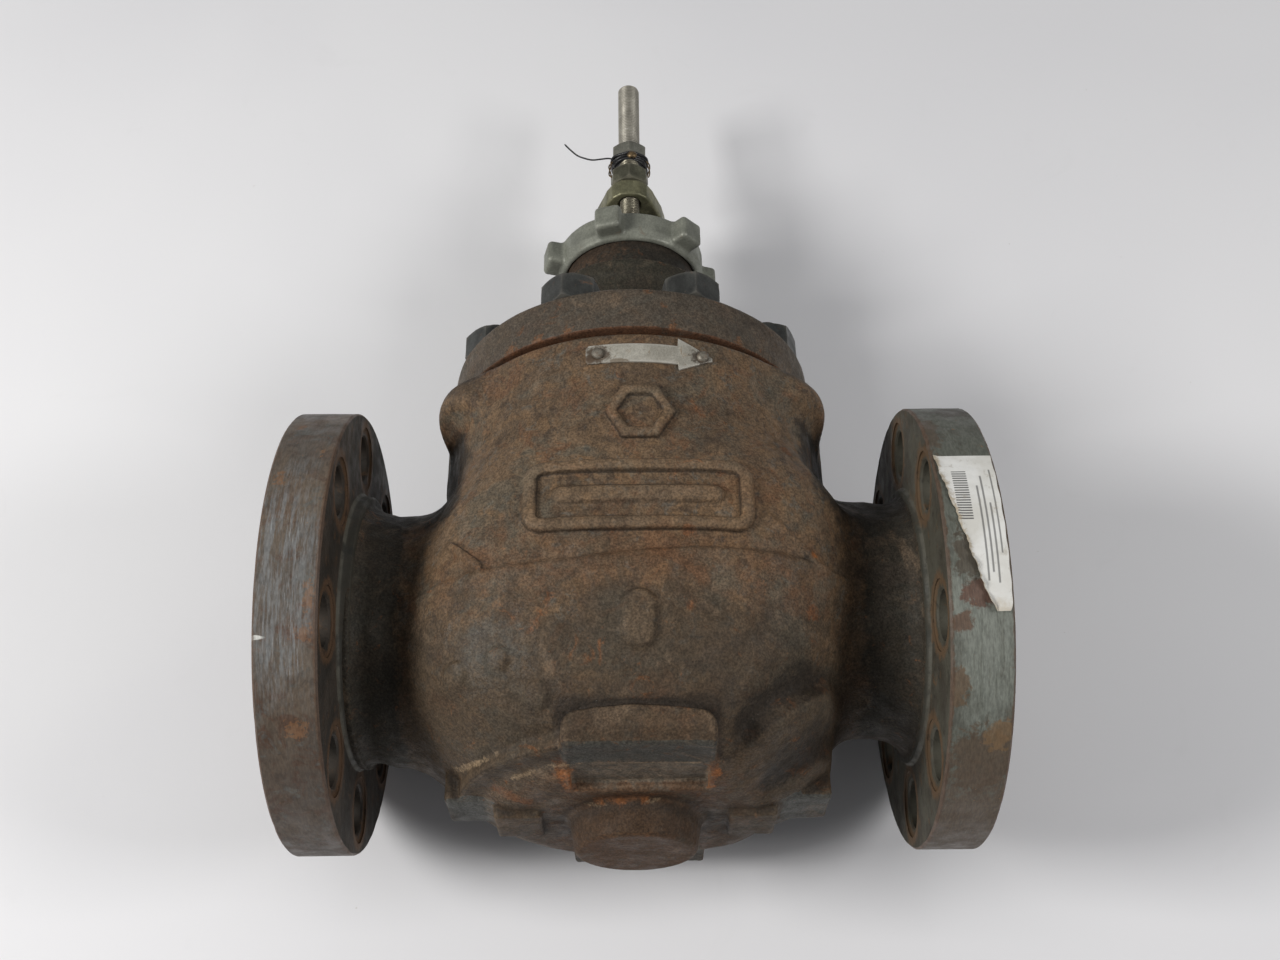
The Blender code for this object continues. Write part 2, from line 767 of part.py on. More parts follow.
# ------------------------------------------------------------------ packing
def make_packing():
    z = BOX_FLOOR + GAP
    ring = lambda name, z0, h, mat: turned(
        name, [(PACK_IN_R, z0), (PACK_OUT_R, z0), (PACK_OUT_R, z0 + h), (PACK_IN_R, z0 + h)], mat, segs=SEG_SMALL
    )
    ring("packing_box_ring", z, 3.0, "stainless")
    z += 3.0 + GAP
    for k in range(3):
        ring(f"packing_ring_{k + 1}", z, 6.0, "white_ring")
        z += 6.0 + GAP
    turned(
        "lantern_ring",
        [
            (PACK_IN_R, z),
            (PACK_OUT_R, z),
            (PACK_OUT_R, z + 4.0),
            (8.9, z + 5.5),
            (8.9, z + 12.5),
            (PACK_OUT_R, z + 14.0),
            (PACK_OUT_R, z + 18.0),
            (PACK_IN_R, z + 18.0),
        ],
        "stainless",
        segs=SEG_SMALL,
    )
    z += 18.0 + GAP
    for k in range(3, 6):
        ring(f"packing_ring_{k + 1}", z, 6.0, "white_ring")
        z += 6.0 + GAP
    ring("felt_wiper", z, 4.0, "felt")
    z += 4.0 + GAP
    turned(
        "packing_follower",
        [
            (PACK_IN_R, z),
            (PACK_OUT_R, z),
            (PACK_OUT_R, 243.0),
            (13.0, 244.5),
            (14.5, 245.5),
            (14.5, 249.4),
            (13.2, GLAND_Z0 - GAP),
            (PACK_IN_R, GLAND_Z0 - GAP),
        ],
        "stainless",
        segs=SEG_SMALL,
    )
    # Packing flange: a rhombic oval, half lengths along Y and half widths along X.
    half = ((0.0, 20.5), (9.0, 18.2), (16.0, 15.4), (22.0, 13.4), (27.0, 10.6), (30.0, 6.6), (31.2, 0.0))
    quarter = [(x, y) for y, x in half]
    outline = (
        quarter[:-1]
        + [(-x, y) for x, y in quarter[::-1]][:-1]
        + [(-x, -y) for x, y in quarter[1:]]
        + [(x, -y) for x, y in quarter[::-1][1:-1]]
    )
    bm = bmesh.new()
    ordered = sorted(set((round(x, 3), round(y, 3)) for x, y in outline), key=lambda p: math.atan2(p[1], p[0]))
    inner = [(x * 0.95, y * 0.965) for x, y in ordered]
    rows = [
        [bm.verts.new((x, y, GLAND_Z0)) for x, y in ordered],
        [bm.verts.new((x, y, GLAND_Z1 - 1.2)) for x, y in ordered],
        [bm.verts.new((x, y, GLAND_Z1)) for x, y in inner],
    ]
    n = len(ordered)
    for a, b in zip(rows[:-1], rows[1:]):
        for k in range(n):
            bm.faces.new((a[k], a[(k + 1) % n], b[(k + 1) % n], b[k]))
    bm.faces.new(rows[0][::-1])
    bm.faces.new(rows[-1])
    gland = new_object("packing_flange", bm, "yellow_zinc")
    boolean(gland, rods([(0, 0)], 7.6, 240, 270, SEG_SMALL))
    boolean(gland, rods([(0, -PACK_STUD_Y), (0, PACK_STUD_Y)], PACK_STUD_R + 0.5, 240, 270, 12))
    stud = stud_mesh("packing_stud_front", PACK_STUD_R, 212.4, 281.0, "zinc_steel")
    first = nut("packing_nut_front", 19.05, GLAND_Z1 + GAP, GLAND_Z1 + GAP + 10.6, PACK_STUD_R + GAP, "zinc_steel", 30.0)
    at_place(stud, 0, -PACK_STUD_Y)
    at_place(first, 0, -PACK_STUD_Y)
    for name, source in (("packing_stud_rear", stud), ("packing_nut_rear", first)):
        copy = bpy.data.objects.new(name, source.data)
        bpy.context.scene.collection.objects.link(copy)
        at_place(copy, 0, PACK_STUD_Y)


# ------------------------------------------------------------------ yoke locknut
LOCKNUT_Z0, LOCKNUT_Z1 = 212.0, 229.0
LOCKNUT_LUGS, LUG_FIRST, LUG_R, LUG_W = 6, -105.0, 48.5, 14.5


def make_locknut():
    nut_obj = turned(
        "yoke_locknut",
        [
            (YOKE_BOSS_R + GAP, LOCKNUT_Z0),
            (38.6, LOCKNUT_Z0),
            (40.4, LOCKNUT_Z0 + 5.0),
            (40.4, LOCKNUT_Z1 - 1.0),
            (39.4, LOCKNUT_Z1),
            (YOKE_BOSS_R + GAP, LOCKNUT_Z1),
        ],
        "zinc_steel",
    )
    for k in range(LOCKNUT_LUGS):
        bm = bmesh.new()
        box_into(bm, (37.8, -LUG_W / 2, LOCKNUT_Z0 + 2.0), (LUG_R, LUG_W / 2, LOCKNUT_Z1 - 0.4), 1.6)
        bmesh.ops.transform(bm, matrix=Matrix.Rotation(math.radians(LUG_FIRST + 60 * k), 4, "Z"), verts=bm.verts)
        boolean(nut_obj, new_object("lug", bm), "UNION")
    return nut_obj


# ------------------------------------------------------------------ label on the outlet flange's rim
def make_label():
    """A thin rectangle with a torn lower corner, wrapped round the flange's rim (angles from -Y)."""
    inner, outer = FLANGE_R + 0.32, FLANGE_R + 0.62
    rows = ((19.0, 131.2), (12.0, 132.6), (5.0, 135.0), (-3.0, 138.4), (-11.0, 142.4), (-17.0, 146.8), (-22.0, 150.8))
    edge = 156.0
    bm = bmesh.new()
    rings = []
    for angle, x0 in rows:
        a = math.radians(angle)
        ring = []
        for r, x in ((inner, x0), (outer, x0), (outer, edge), (inner, edge)):
            ring.append(bm.verts.new((x, -r * math.cos(a), r * math.sin(a))))
        rings.append(ring)
    for a, b in zip(rings[:-1], rings[1:]):
        for k in range(4):
            bm.faces.new((a[k], a[(k + 1) % 4], b[(k + 1) % 4], b[k]))
    bm.faces.new(rings[0][::-1])
    bm.faces.new(rings[-1])
    return new_object("rim_label", bm, "paper_label")


# ------------------------------------------------------------------ assembly
stem_group = bpy.data.objects.new("stem_group", None)
bpy.context.scene.collection.objects.link(stem_group)

make_body()
make_bonnet()
make_body_fasteners()
make_trim(stem_group)
make_stem(stem_group)
make_packing()
make_locknut()
make_plate()
make_plate_screws()
make_label()

valve_axes = bpy.data.objects.new("valve_axes", None)
bpy.context.scene.collection.objects.link(valve_axes)
for obj in bpy.context.scene.objects:
    if obj.parent is None and obj is not valve_axes:
        obj.parent = valve_axes
valve_axes.location = (0, 0, AXIS_HEIGHT * MM)
bpy.context.view_layer.update()
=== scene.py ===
"""Looks for the flanged globe control valve. Geometry is worked out in millimetres from the flow
axis (the valve frame) and lifted by the height of that axis over the bottom boss when a mesh is made."""
import math

import bmesh
import bpy
import numpy as np
from mathutils import Matrix, Vector


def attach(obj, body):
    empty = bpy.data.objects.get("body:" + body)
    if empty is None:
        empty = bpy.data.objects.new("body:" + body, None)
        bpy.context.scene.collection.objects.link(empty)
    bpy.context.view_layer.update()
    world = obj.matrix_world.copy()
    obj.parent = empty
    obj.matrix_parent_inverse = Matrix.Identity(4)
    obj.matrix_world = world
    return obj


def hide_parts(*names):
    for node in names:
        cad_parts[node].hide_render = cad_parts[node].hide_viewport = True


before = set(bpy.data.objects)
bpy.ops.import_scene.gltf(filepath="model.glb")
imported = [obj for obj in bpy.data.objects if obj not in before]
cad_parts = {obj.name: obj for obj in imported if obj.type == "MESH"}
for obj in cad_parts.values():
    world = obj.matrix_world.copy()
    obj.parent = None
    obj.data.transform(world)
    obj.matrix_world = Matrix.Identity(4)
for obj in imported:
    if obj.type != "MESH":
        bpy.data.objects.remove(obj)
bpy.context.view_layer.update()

AXIS = 110.0
MM = 0.001
ROOT, STEM = "valve", "stem_plug"


# =====================================================================================
# mesh helpers
# =====================================================================================
def make_object(name, verts, faces, mats=(), smooth=True, angle=None, mat_index=None, attrs=None):
    """verts in mm in the valve frame."""
    verts = np.asarray(verts, np.float64)
    mesh = bpy.data.meshes.new(name)
    world = verts * MM
    world[:, 2] += AXIS * MM
    if isinstance(faces, np.ndarray):
        n = len(faces)
        mesh.vertices.add(len(world))
        mesh.vertices.foreach_set("co", world.astype(np.float32).ravel())
        k = faces.shape[1]
        mesh.loops.add(n * k)
        mesh.loops.foreach_set("vertex_index", faces.astype(np.int32).ravel())
        mesh.polygons.add(n)
        mesh.polygons.foreach_set("loop_start", np.arange(0, n * k, k, dtype=np.int32))
        mesh.update(calc_edges=True)
    else:
        mesh.from_pydata([tuple(v) for v in world], [], faces)
        mesh.update(calc_edges=True)
    mesh.validate()
    if attrs:
        for key, values in attrs.items():
            a = mesh.attributes.new(key, "FLOAT", "POINT")
            a.data.foreach_set("value", np.asarray(values, np.float32))
    for m in mats:
        mesh.materials.append(m)
    if mat_index is not None:
        mesh.polygons.foreach_set("material_index", np.asarray(mat_index, np.int32))
    if smooth:
        mesh.shade_smooth()
        if angle:
            mesh.set_sharp_from_angle(angle=math.radians(angle))
    obj = bpy.data.objects.new(name, mesh)
    bpy.context.scene.collection.objects.link(obj)
    return obj


def finish_piece(obj, body, nodes=()):
    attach(obj, body)
    if nodes:
        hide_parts(*nodes)
    return obj


def lathe(profile, segs, closed=False, phase=0.0):
    """(verts, faces) of (r, z) points revolved about Z; r 0 makes a pole. closed joins last to first."""
    verts, faces, rings = [], [], []
    for r, z in profile:
        if r <= 1e-6:
            rings.append([len(verts)])
            verts.append((0, 0, z))
        else:
            start = len(verts)
            for k in range(segs):
                a = 2 * math.pi * k / segs + phase
                verts.append((r * math.cos(a), r * math.sin(a), z))
            rings.append(list(range(start, start + segs)))
    pairs = list(zip(rings[:-1], rings[1:]))
    if closed:
        pairs.append((rings[-1], rings[0]))
    for a, b in pairs:
        for k in range(segs):
            n = (k + 1) % segs
            if len(a) == 1 and len(b) == 1:
                continue
            if len(a) == 1:
                faces.append((a[0], b[n], b[k]))
            elif len(b) == 1:
                faces.append((a[k], a[n], b[0]))
            else:
                faces.append((a[k], a[n], b[n], b[k]))
    return np.array(verts, float), faces


def rounded(profile, radii, steps=3):
    """Replaces corners of an open (r, z) profile with arcs. radii maps an index to a radius."""
    out = []
    for i, p in enumerate(profile):
        rad = radii.get(i, 0)
        if not rad or i in (0, len(profile) - 1):
            out.append(p)
            continue
        p0, p1, p2 = (np.array(profile[j], float) for j in (i - 1, i, i + 1))
        a, b = p0 - p1, p2 - p1
        la, lb = np.linalg.norm(a), np.linalg.norm(b)
        t = min(rad, la * 0.49, lb * 0.49)
        s, e = p1 + a / la * t, p1 + b / lb * t
        for k in range(steps + 1):
            u = k / steps
            q = (1 - u) ** 2 * s + 2 * u * (1 - u) * p1 + u * u * e
            out.append((float(q[0]), float(q[1])))
    return out


def outward(obj):
    bm = bmesh.new()
    bm.from_mesh(obj.data)
    bmesh.ops.recalc_face_normals(bm, faces=bm.faces)
    bm.to_mesh(obj.data)
    bm.free()
    return obj


def boolean(obj, tool, operation="DIFFERENCE", angle=30):
    mod = obj.modifiers.new("cut", "BOOLEAN")
    mod.operation = operation
    mod.solver = "EXACT"
    mod.object = tool
    bpy.context.view_layer.update()
    graph = bpy.context.evaluated_depsgraph_get()
    result = bpy.data.meshes.new_from_object(obj.evaluated_get(graph))
    obj.modifiers.remove(mod)
    old = obj.data
    keep = list(old.materials)
    result.materials.clear()
    for m in keep:
        result.materials.append(m)
    if len(keep) <= 1:
        for p in result.polygons:
            p.material_index = 0
    obj.data = result
    result.name = obj.name
    result.shade_smooth()
    result.set_sharp_from_angle(angle=math.radians(angle))
    bpy.data.objects.remove(tool, do_unlink=True)
    return obj


def rotate(verts, axis, deg):
    m = np.array(Matrix.Rotation(math.radians(deg), 3, axis))
    return np.asarray(verts, float) @ m.T


def tool_from(parts):
    """One cutter from several (verts, faces)."""
    vs, fs, n = [], [], 0
    for v, f in parts:
        vs.append(np.asarray(v, float))
        fs += [tuple(i + n for i in face) for face in f]
        n += len(v)
    obj = make_object("tool", np.concatenate(vs), fs, smooth=False)
    return outward(obj)


def value_noise(p, scale, seed):
    """Smooth noise in -1..1 at points p (mm), one lattice cell per scale mm."""
    rng = np.random.default_rng(seed)
    table = rng.uniform(-1, 1, 4096)
    q = np.asarray(p, float) / scale
    i = np.floor(q).astype(np.int64)
    f = q - i
    f = f * f * (3 - 2 * f)
    out = 0.0
    for dx in (0, 1):
        for dy in (0, 1):
            for dz in (0, 1):
                h = ((i[:, 0] + dx) * 73856093) ^ ((i[:, 1] + dy) * 19349663) ^ ((i[:, 2] + dz) * 83492791)
                v = table[(h ^ (h >> 13)) & 4095]
                w = (
                    (f[:, 0] if dx else 1 - f[:, 0])
                    * (f[:, 1] if dy else 1 - f[:, 1])
                    * (f[:, 2] if dz else 1 - f[:, 2])
                )
                out = out + v * w
    return out


def fractal(p, scale, seed, octaves=3):
    total, amp, norm = 0.0, 1.0, 0.0
    for k in range(octaves):
        total = total + amp * value_noise(p, scale / 2**k, seed + k)
        norm += amp
        amp *= 0.5
    return total / norm


# =====================================================================================
# signed distance casting
# =====================================================================================
def smin(a, b, k):
    h = np.clip(0.5 + 0.5 * (b - a) / k, 0, 1)
    return b + (a - b) * h - k * h * (1 - h)


def smax(a, b, k):
    return -smin(-a, -b, k)


def smooth_curve(points, sigma=4.0):
    """A blurred polyline as a function."""
    pts = np.array(points, float)
    u = np.arange(pts[0, 0] - 30, pts[-1, 0] + 30, 0.5)
    v = np.interp(u, pts[:, 0], pts[:, 1])
    w = np.exp(-0.5 * (np.arange(-40, 41) * 0.5 / sigma) ** 2)
    w /= w.sum()
    padded = np.concatenate([np.full(40, v[0]), v, np.full(40, v[-1])])
    s = np.convolve(padded, w, "valid")
    return lambda x: np.interp(x, u, s)


BODY_TOP = 105.8
# height: inlet-side half width, outlet-side half width, front and back half width
ROWS = (
    (-95.0, 58.0, 58.0, 54.0),
    (-91.0, 66.0, 68.0, 62.0),
    (-86.0, 73.0, 79.0, 72.0),
    (-79.0, 81.5, 86.8, 80.0),
    (-71.0, 89.0, 88.8, 85.5),
    (-55.0, 100.5, 90.6, 92.0),
    (-40.0, 105.0, 93.5, 95.5),
    (-25.0, 107.0, 96.5, 97.0),
    (-10.0, 107.0, 101.0, 97.5),
    (5.0, 103.5, 105.0, 97.5),
    (25.0, 97.0, 108.0, 96.8),
    (41.0, 92.0, 106.0, 96.2),
    (58.0, 93.0, 100.0, 95.8),
    (80.0, 95.0, 98.0, 95.8),
    (106.0, 95.0, 98.0, 95.8),
)
curve_l = smooth_curve([(r[0], r[1]) for r in ROWS], 3.5)
curve_r = smooth_curve([(r[0], r[2]) for r in ROWS], 3.5)
curve_y = smooth_curve([(r[0], r[3]) for r in ROWS], 3.5)
curve_n = smooth_curve([(-96, 2.0), (-80, 2.3), (-60, 2.8), (30, 3.0), (62, 2.05), (106, 2.0)], 8.0)


def bulb(x, y, z):
    rx = np.where(x < 0, curve_l(z), curve_r(z))
    ry = curve_y(z)
    n = curve_n(z)
    r = np.sqrt(x * x + y * y) + 1e-6
    rho = ((np.abs(x) / rx) ** n + (np.abs(y) / ry) ** n) ** (1 / n) + 1e-9
    dr = (curve_y(z + 1.0) - curve_y(z - 1.0)) / 2.0
    return r * (1 - 1 / rho) / np.sqrt(1 + dr * dr)


def round_box(x, y, z, centre, half, rad):
    q = [np.abs(c - m) - (h - rad) for c, m, h in zip((x, y, z), centre, half)]
    outside = np.sqrt(sum(np.maximum(c, 0) ** 2 for c in q))
    return outside + np.minimum(np.maximum(np.maximum(q[0], q[1]), q[2]), 0) - rad


def capsule(x, y, z, a, b, r):
    a, b = np.array(a, float), np.array(b, float)
    d = b - a
    t = np.clip(((x - a[0]) * d[0] + (y - a[1]) * d[1] + (z - a[2]) * d[2]) / (d @ d), 0, 1)
    return np.sqrt((x - a[0] - t * d[0]) ** 2 + (y - a[1] - t * d[1]) ** 2 + (z - a[2] - t * d[2]) ** 2) - r


IN_R, IN_Z = 59.6, -5.3
OUT_R, OUT_Z = 56.8, 3.6


def front_marks(x, z):
    """Relief height (mm) of the marks cast on the front: a blank cartouche, a blank hexagon, plain pads."""
    def bead(d, width):
        return np.clip(1 - (2 * np.abs(d) / width) ** 3, 0, 1) ** 0.7

    # rounded rectangle outline, thick at the foot
    cx, cz, hx, hz, rad = 2.4, 17.4, 47.2, 14.6, 6.0
    qx, qz = np.abs(x - cx) - hx + rad, np.abs(z - cz) - hz + rad
    d = np.sqrt(np.maximum(qx, 0) ** 2 + np.maximum(qz, 0) ** 2) + np.minimum(np.maximum(qx, qz), 0) - rad
    h = 4.1 * bead(d, 7.0)
    h = np.maximum(h, 0.7 * np.clip(-d / 2.0, 0, 1))
    # a plain raised bar fills the cartouche
    qx, qz = np.maximum(np.abs(x - cx) - 33.0, 0), np.abs(z - cz)
    h = np.maximum(h, 0.7 + 2.9 * np.clip((5.2 - np.sqrt(qx**2 + qz**2)) / 2.4, 0, 1) - 9.0 * (np.sqrt(qx**2 + qz**2) > 5.2))
    # hexagon outline, points to the sides
    hxc, hzc, hr = 3.7, 61.2, 11.4
    ax, az = np.abs(x - hxc), np.abs(z - hzc)
    dh = np.maximum(az, ax * math.cos(math.pi / 6) + az * 0.5) - hr
    h = np.maximum(h, 3.6 * bead(dh, 5.6))
    h = np.maximum(h, 0.6 * np.clip(-dh / 2.0, 0, 1))
    # one plain oval pad at the middle, and three round pads low on the inlet side
    db = np.sqrt((x - 2.0) ** 2 + np.maximum(np.abs(z + 41.0) - 5.0, 0) ** 2) - 8.4
    h = np.maximum(h, 2.7 * np.clip(-db / 2.4, 0, 1))
    for xc, zc, r in ((-76.0, -56.5, 6.4), (-57.0, -54.0, 6.0), (-40.5, -69.0, 6.4)):
        dd = np.sqrt((x - xc) ** 2 + (z - zc) ** 2)
        h = np.maximum(h, 1.9 * np.clip((r - dd) / 2.4, 0, 1))
    # low plain rectangle under the parting step
    qx, qz = np.abs(x - 1.0) - 21.0, np.abs(z + 19.0) - 6.0
    h = np.maximum(h, 0.9 * np.clip(-np.maximum(qx, qz) / 1.6, 0, 1))
    # short diagonal piece at the inlet end of the parting step, and a stub at its outlet end
    for (x0, z0), (x1, z1), width, high in (((-66, -13), (-80, 2), 2.6, 2.2), ((58, 9), (66, 4), 2.4, 1.4), ((76, -4), (84, -9), 3.0, 1.5)):
        ux, uz = x1 - x0, z1 - z0
        t = np.clip(((x - x0) * ux + (z - z0) * uz) / (ux * ux + uz * uz), 0, 1)
        dd = np.sqrt((x - x0 - t * ux) ** 2 + (z - z0 - t * uz) ** 2) - width
        h = np.maximum(h, high * np.clip(-dd / 1.6, 0, 1))
    return h


def body_sdf(x, y, z):
    """Outer casting without the flange discs, before the passages are cut."""
    d = bulb(x, y, z)
    # chord flats on the side walls over the necks
    flat = 0.963 * np.abs(x) + 0.27 * np.abs(y) - np.where(x < 0, 92.3, 94.6)
    gate = np.clip((z - 30) / 20, 0, 1)
    d = smax(d, flat - (1 - gate) * 14.0, 3.0)
    # step of the lower mould half, over the front and the back
    line = -10.0 + 0.055 * x + 0.9 * np.sin(x / 19.0 + 0.6)
    d = d - 2.3 * np.clip((line - z) / 2.4, 0, 1) * np.clip((50.0 + z) / 42.0, 0, 1)
    # low diagonal ridge between two hollows, under the outlet side, front and back
    ux, uz = -38.0 / 47.8, -29.0 / 47.8
    run = ((x - 83.0) * ux + (z + 60.0) * uz) / 47.8
    off = (x - 83.0) * uz - (z + 60.0) * ux
    fade = np.clip((run + 0.30) / 0.35, 0, 1) * np.clip((1.12 - run) / 0.3, 0, 1) * np.clip((np.abs(y) - 18.0) / 14.0, 0, 1)
    shape = 4.8 * np.exp(-(((off - 10.5) / 6.0) ** 2)) + 3.6 * np.exp(-(((off + 8.5) / 5.0) ** 2)) - 1.8 * np.exp(-((off / 4.2) ** 2))
    d = d + shape * fade
    # a shelf between the inlet foot and the front foot
    ring = np.sqrt(x * x + y * y)
    shelf = smax(smax(smax(ring - 79.5, -88.5 - z, 1.5), x + 28.0, 3.0), y + 12.0, 3.0)
    d = smin(d, np.maximum(shelf, z + 72.0), 1.2)
    # necks
    xa = np.abs(x)
    neck_r = np.where(x < 0, IN_R, OUT_R)
    neck_z = np.where(x < 0, IN_Z, OUT_Z)
    flare = np.clip(np.where(x < 0, (xa - 117.6) / 8.0, (xa - 117.0) / 11.6), 0, 1)
    rn = neck_r + (64.6 - neck_r) * (1 - np.sqrt(np.clip(1 - flare * flare, 0, 1)))
    zc = neck_z * (1 - np.clip((xa - 112) / 18, 0, 1))
    neck = np.sqrt(y * y + (z - zc) ** 2) - rn
    neck = np.maximum(neck, 40.0 - xa)
    d = smin(d, neck, 16.0)
    d = np.maximum(d, xa - 134.0)
    # lobes over the outer bonnet studs
    lobe = np.sqrt((xa - 67.5) ** 2 + (np.abs(y) - 41.5) ** 2) - 27.0
    lobe = smax(lobe, z - (BODY_TOP + 1.0), 14.0)
    under = (84.5 - z) * 0.8 + np.maximum(np.sqrt(x * x + y * y) - 97.0, 0) * 0.6
    lobe = smax(lobe, under, 3.0)
    d = smin(d, lobe, 7.0)
    # bottom: round foot face, boss, side and front feet, short ribs
    d = smax(d, -94.6 - z, 5.0)
    r = np.sqrt(x * x + y * y)
    boss = np.maximum(r - (27.2 + (z + 110) * 0.16), -110.0 - z)
    boss = smax(r - (27.2 + (z + 110) * 0.16), -110.0 - z, 2.6)
    boss = np.maximum(boss, z + 80)
    d = smin(d, boss, 4.0)
    for side in (-1, 1):
        lug = round_box(x, y, z, (side * (72.3 if side < 0 else 73.6), 0, -70.0), (12.4 if side < 0 else 13.4, 15.0, 20.0), 2.0)
        d = smin(d, lug, 2.0)
        rib = round_box(x, y, z, (side * 52.0, 0, -85.0), (10.5, 14.0, 12.6), 1.6)
        d = smin(d, rib, 2.0)
        crown = np.sqrt((x - 1.6) ** 2 + (z + 230.4) ** 2) - 156.0
        foot = smax(smax(np.abs(x - 1.6) - 31.8, crown, 7.0), -90.0 - z, 1.8)
        foot = smax(foot, np.abs(side * y - 64.5) - 21.4, 1.6)
        foot = smax(foot, (side * y - 85.9 - 90.0 - z + 6.5) * 0.7071, 1.5)
        d = smin(d, foot, 1.4)
        strip = round_box(x, y, z, (1.8, side * 70.0, -96.0), (29.0, 30.5, 6.0), 0.6)
        d = smax(d, -strip, 0.8)
    # flat top of the body and its edge
    d = smax(d, z - BODY_TOP, 2.5)
    # cast marks stand out of the front wall only
    marks = front_marks(x, z) * np.clip((-y - 40) / 10, 0, 1)
    d = d - marks * 0.93
    return d


def path_sdf(x, y, z, stations):
    """Union of ellipsoidal tube pieces along (x, z, half height, half width) stations."""
    d = None
    for (x0, z0, h0, w0), (x1, z1, h1, w1) in zip(stations[:-1], stations[1:]):
        dx, dz = x1 - x0, z1 - z0
        t = np.clip(((x - x0) * dx + (z - z0) * dz) / (dx * dx + dz * dz), 0, 1)
        h, w = h0 + (h1 - h0) * t, w0 + (w1 - w0) * t
        px, pz = x - x0 - t * dx, z - z0 - t * dz
        rad = np.sqrt((px * px + pz * pz) / (h * h) + (y * y) / (w * w)) + 1e-6
        piece = (rad - 1) * np.minimum(h, w)
        d = piece if d is None else smin(d, piece, 4.0)
    return d


def cavity_sdf(x, y, z):
    r = np.sqrt(x * x + y * y)
    inlet = path_sdf(x, y, z, ((-150, 0, 38.1, 38.1), (-126, 0, 38.1, 38.1), (-106, -7, 35, 40), (-84, -23, 31, 43), (-62, -46, 28, 46), (-38, -60, 26, 42)))
    outlet = path_sdf(x, y, z, ((150, 0, 38.1, 38.1), (126, 0, 38.1, 38.1), (104, 7, 37, 40), (84, 18, 34, 46), (56, 26, 32, 48)))
    bowl_r = np.sqrt((x + 4) ** 2 + y * y)
    bowl = smax(smax(bowl_r - 66.0, z + 28.5, 3.0), -88.0 - z, 18.0)
    gal_r = np.sqrt((x - 8) ** 2 + y * y)
    gallery = smax(smax(gal_r - 69.0, -12.0 - z, 6.0), z - 60.0, 10.0)
    d = smin(smin(inlet, bowl, 6.0), smin(outlet, gallery, 6.0), 1.0)
    bores = np.minimum(
        np.maximum(r - 48.3, np.abs(z + 25) - 15),
        np.maximum(r - 54.3, np.abs(z - 40) - 58.5),
    )
    bores = np.minimum(bores, np.maximum(r - 60.0, 88.0 - z))
    d = np.minimum(d, bores)
    for k in range(8):
        a = math.radians(22.5 + 45 * k)
        hole = np.sqrt((x - 76 * math.cos(a)) ** 2 + (y - 76 * math.sin(a)) ** 2) - 8.3
        d = np.minimum(d, np.maximum(hole, 77.0 - z))
    return d


def casting(x, y, z):
    return smax(body_sdf(x, y, z), -cavity_sdf(x, y, z), 0.8)


def surface_nets(V, xs, ys, zs):
    S = V < 0
    c = np.zeros(tuple(n - 1 for n in V.shape), np.uint8)
    for a in (0, 1):
        for b in (0, 1):
            for e in (0, 1):
                c += S[a : V.shape[0] - 1 + a, b : V.shape[1] - 1 + b, e : V.shape[2] - 1 + e]
    active = (c > 0) & (c < 8)
    ci, cj, ck = np.nonzero(active)
    n = len(ci)
    index = np.full(active.shape, -1, np.int32)
    index[active] = np.arange(n, dtype=np.int32)
    pos = np.zeros((n, 3))
    count = np.zeros(n)
    corners = [(a, b, e) for a in (0, 1) for b in (0, 1) for e in (0, 1)]
    for p in corners:
        for q in corners:
            if sum(abs(i - j) for i, j in zip(p, q)) != 1 or p > q:
                continue
            va = V[ci + p[0], cj + p[1], ck + p[2]].astype(np.float64)
            vb = V[ci + q[0], cj + q[1], ck + q[2]].astype(np.float64)
            m = (va < 0) != (vb < 0)
            t = va[m] / (va[m] - vb[m])
            pa = np.stack([xs[ci[m] + p[0]], ys[cj[m] + p[1]], zs[ck[m] + p[2]]], 1)
            pb = np.stack([xs[ci[m] + q[0]], ys[cj[m] + q[1]], zs[ck[m] + q[2]]], 1)
            pos[m] += pa + (pb - pa) * t[:, None]
            count[m] += 1
    pos /= count[:, None]
    quads = []
    for axis in range(3):
        lo = [slice(1, -1)] * 3
        hi = [slice(1, -1)] * 3
        lo[axis], hi[axis] = slice(0, -1), slice(1, None)
        s0, s1 = S[tuple(lo)], S[tuple(hi)]
        for inside, flip in ((s0 & ~s1, False), (~s0 & s1, True)):
            i, j, k = np.nonzero(inside)
            off = [1, 1, 1]
            off[axis] = 0
            i, j, k = i + off[0], j + off[1], k + off[2]
            if axis == 0:
                q = [(i, j - 1, k - 1), (i, j, k - 1), (i, j, k), (i, j - 1, k)]
            elif axis == 1:
                q = [(i - 1, j, k - 1), (i - 1, j, k), (i, j, k), (i, j, k - 1)]
            else:
                q = [(i - 1, j - 1, k), (i, j - 1, k), (i, j, k), (i - 1, j, k)]
            f = np.stack([index[a] for a in q], 1)
            quads.append(f[:, ::-1] if flip else f)
    return pos, np.concatenate(quads)


def graded(spans):
    """Grid lines from (end, step) spans."""
    out = [spans[0][0]]
    for end, step in spans[1:]:
        n = max(1, int(round((end - out[-1]) / step)))
        out += list(np.linspace(out[-1], end, n + 1)[1:])
    return np.array(out, float)


def sample_field(func, xs, ys, zs):
    V = np.empty((len(xs), len(ys), len(zs)), np.float32)
    Y, Z = np.meshgrid(ys, zs, indexing="ij")
    for i0 in range(0, len(xs), 16):
        block = xs[i0 : i0 + 16]
        X = block[:, None, None] + np.zeros_like(Y)[None]
        V[i0 : i0 + 16] = func(X, Y[None] + 0 * X, Z[None] + 0 * X)
    return V


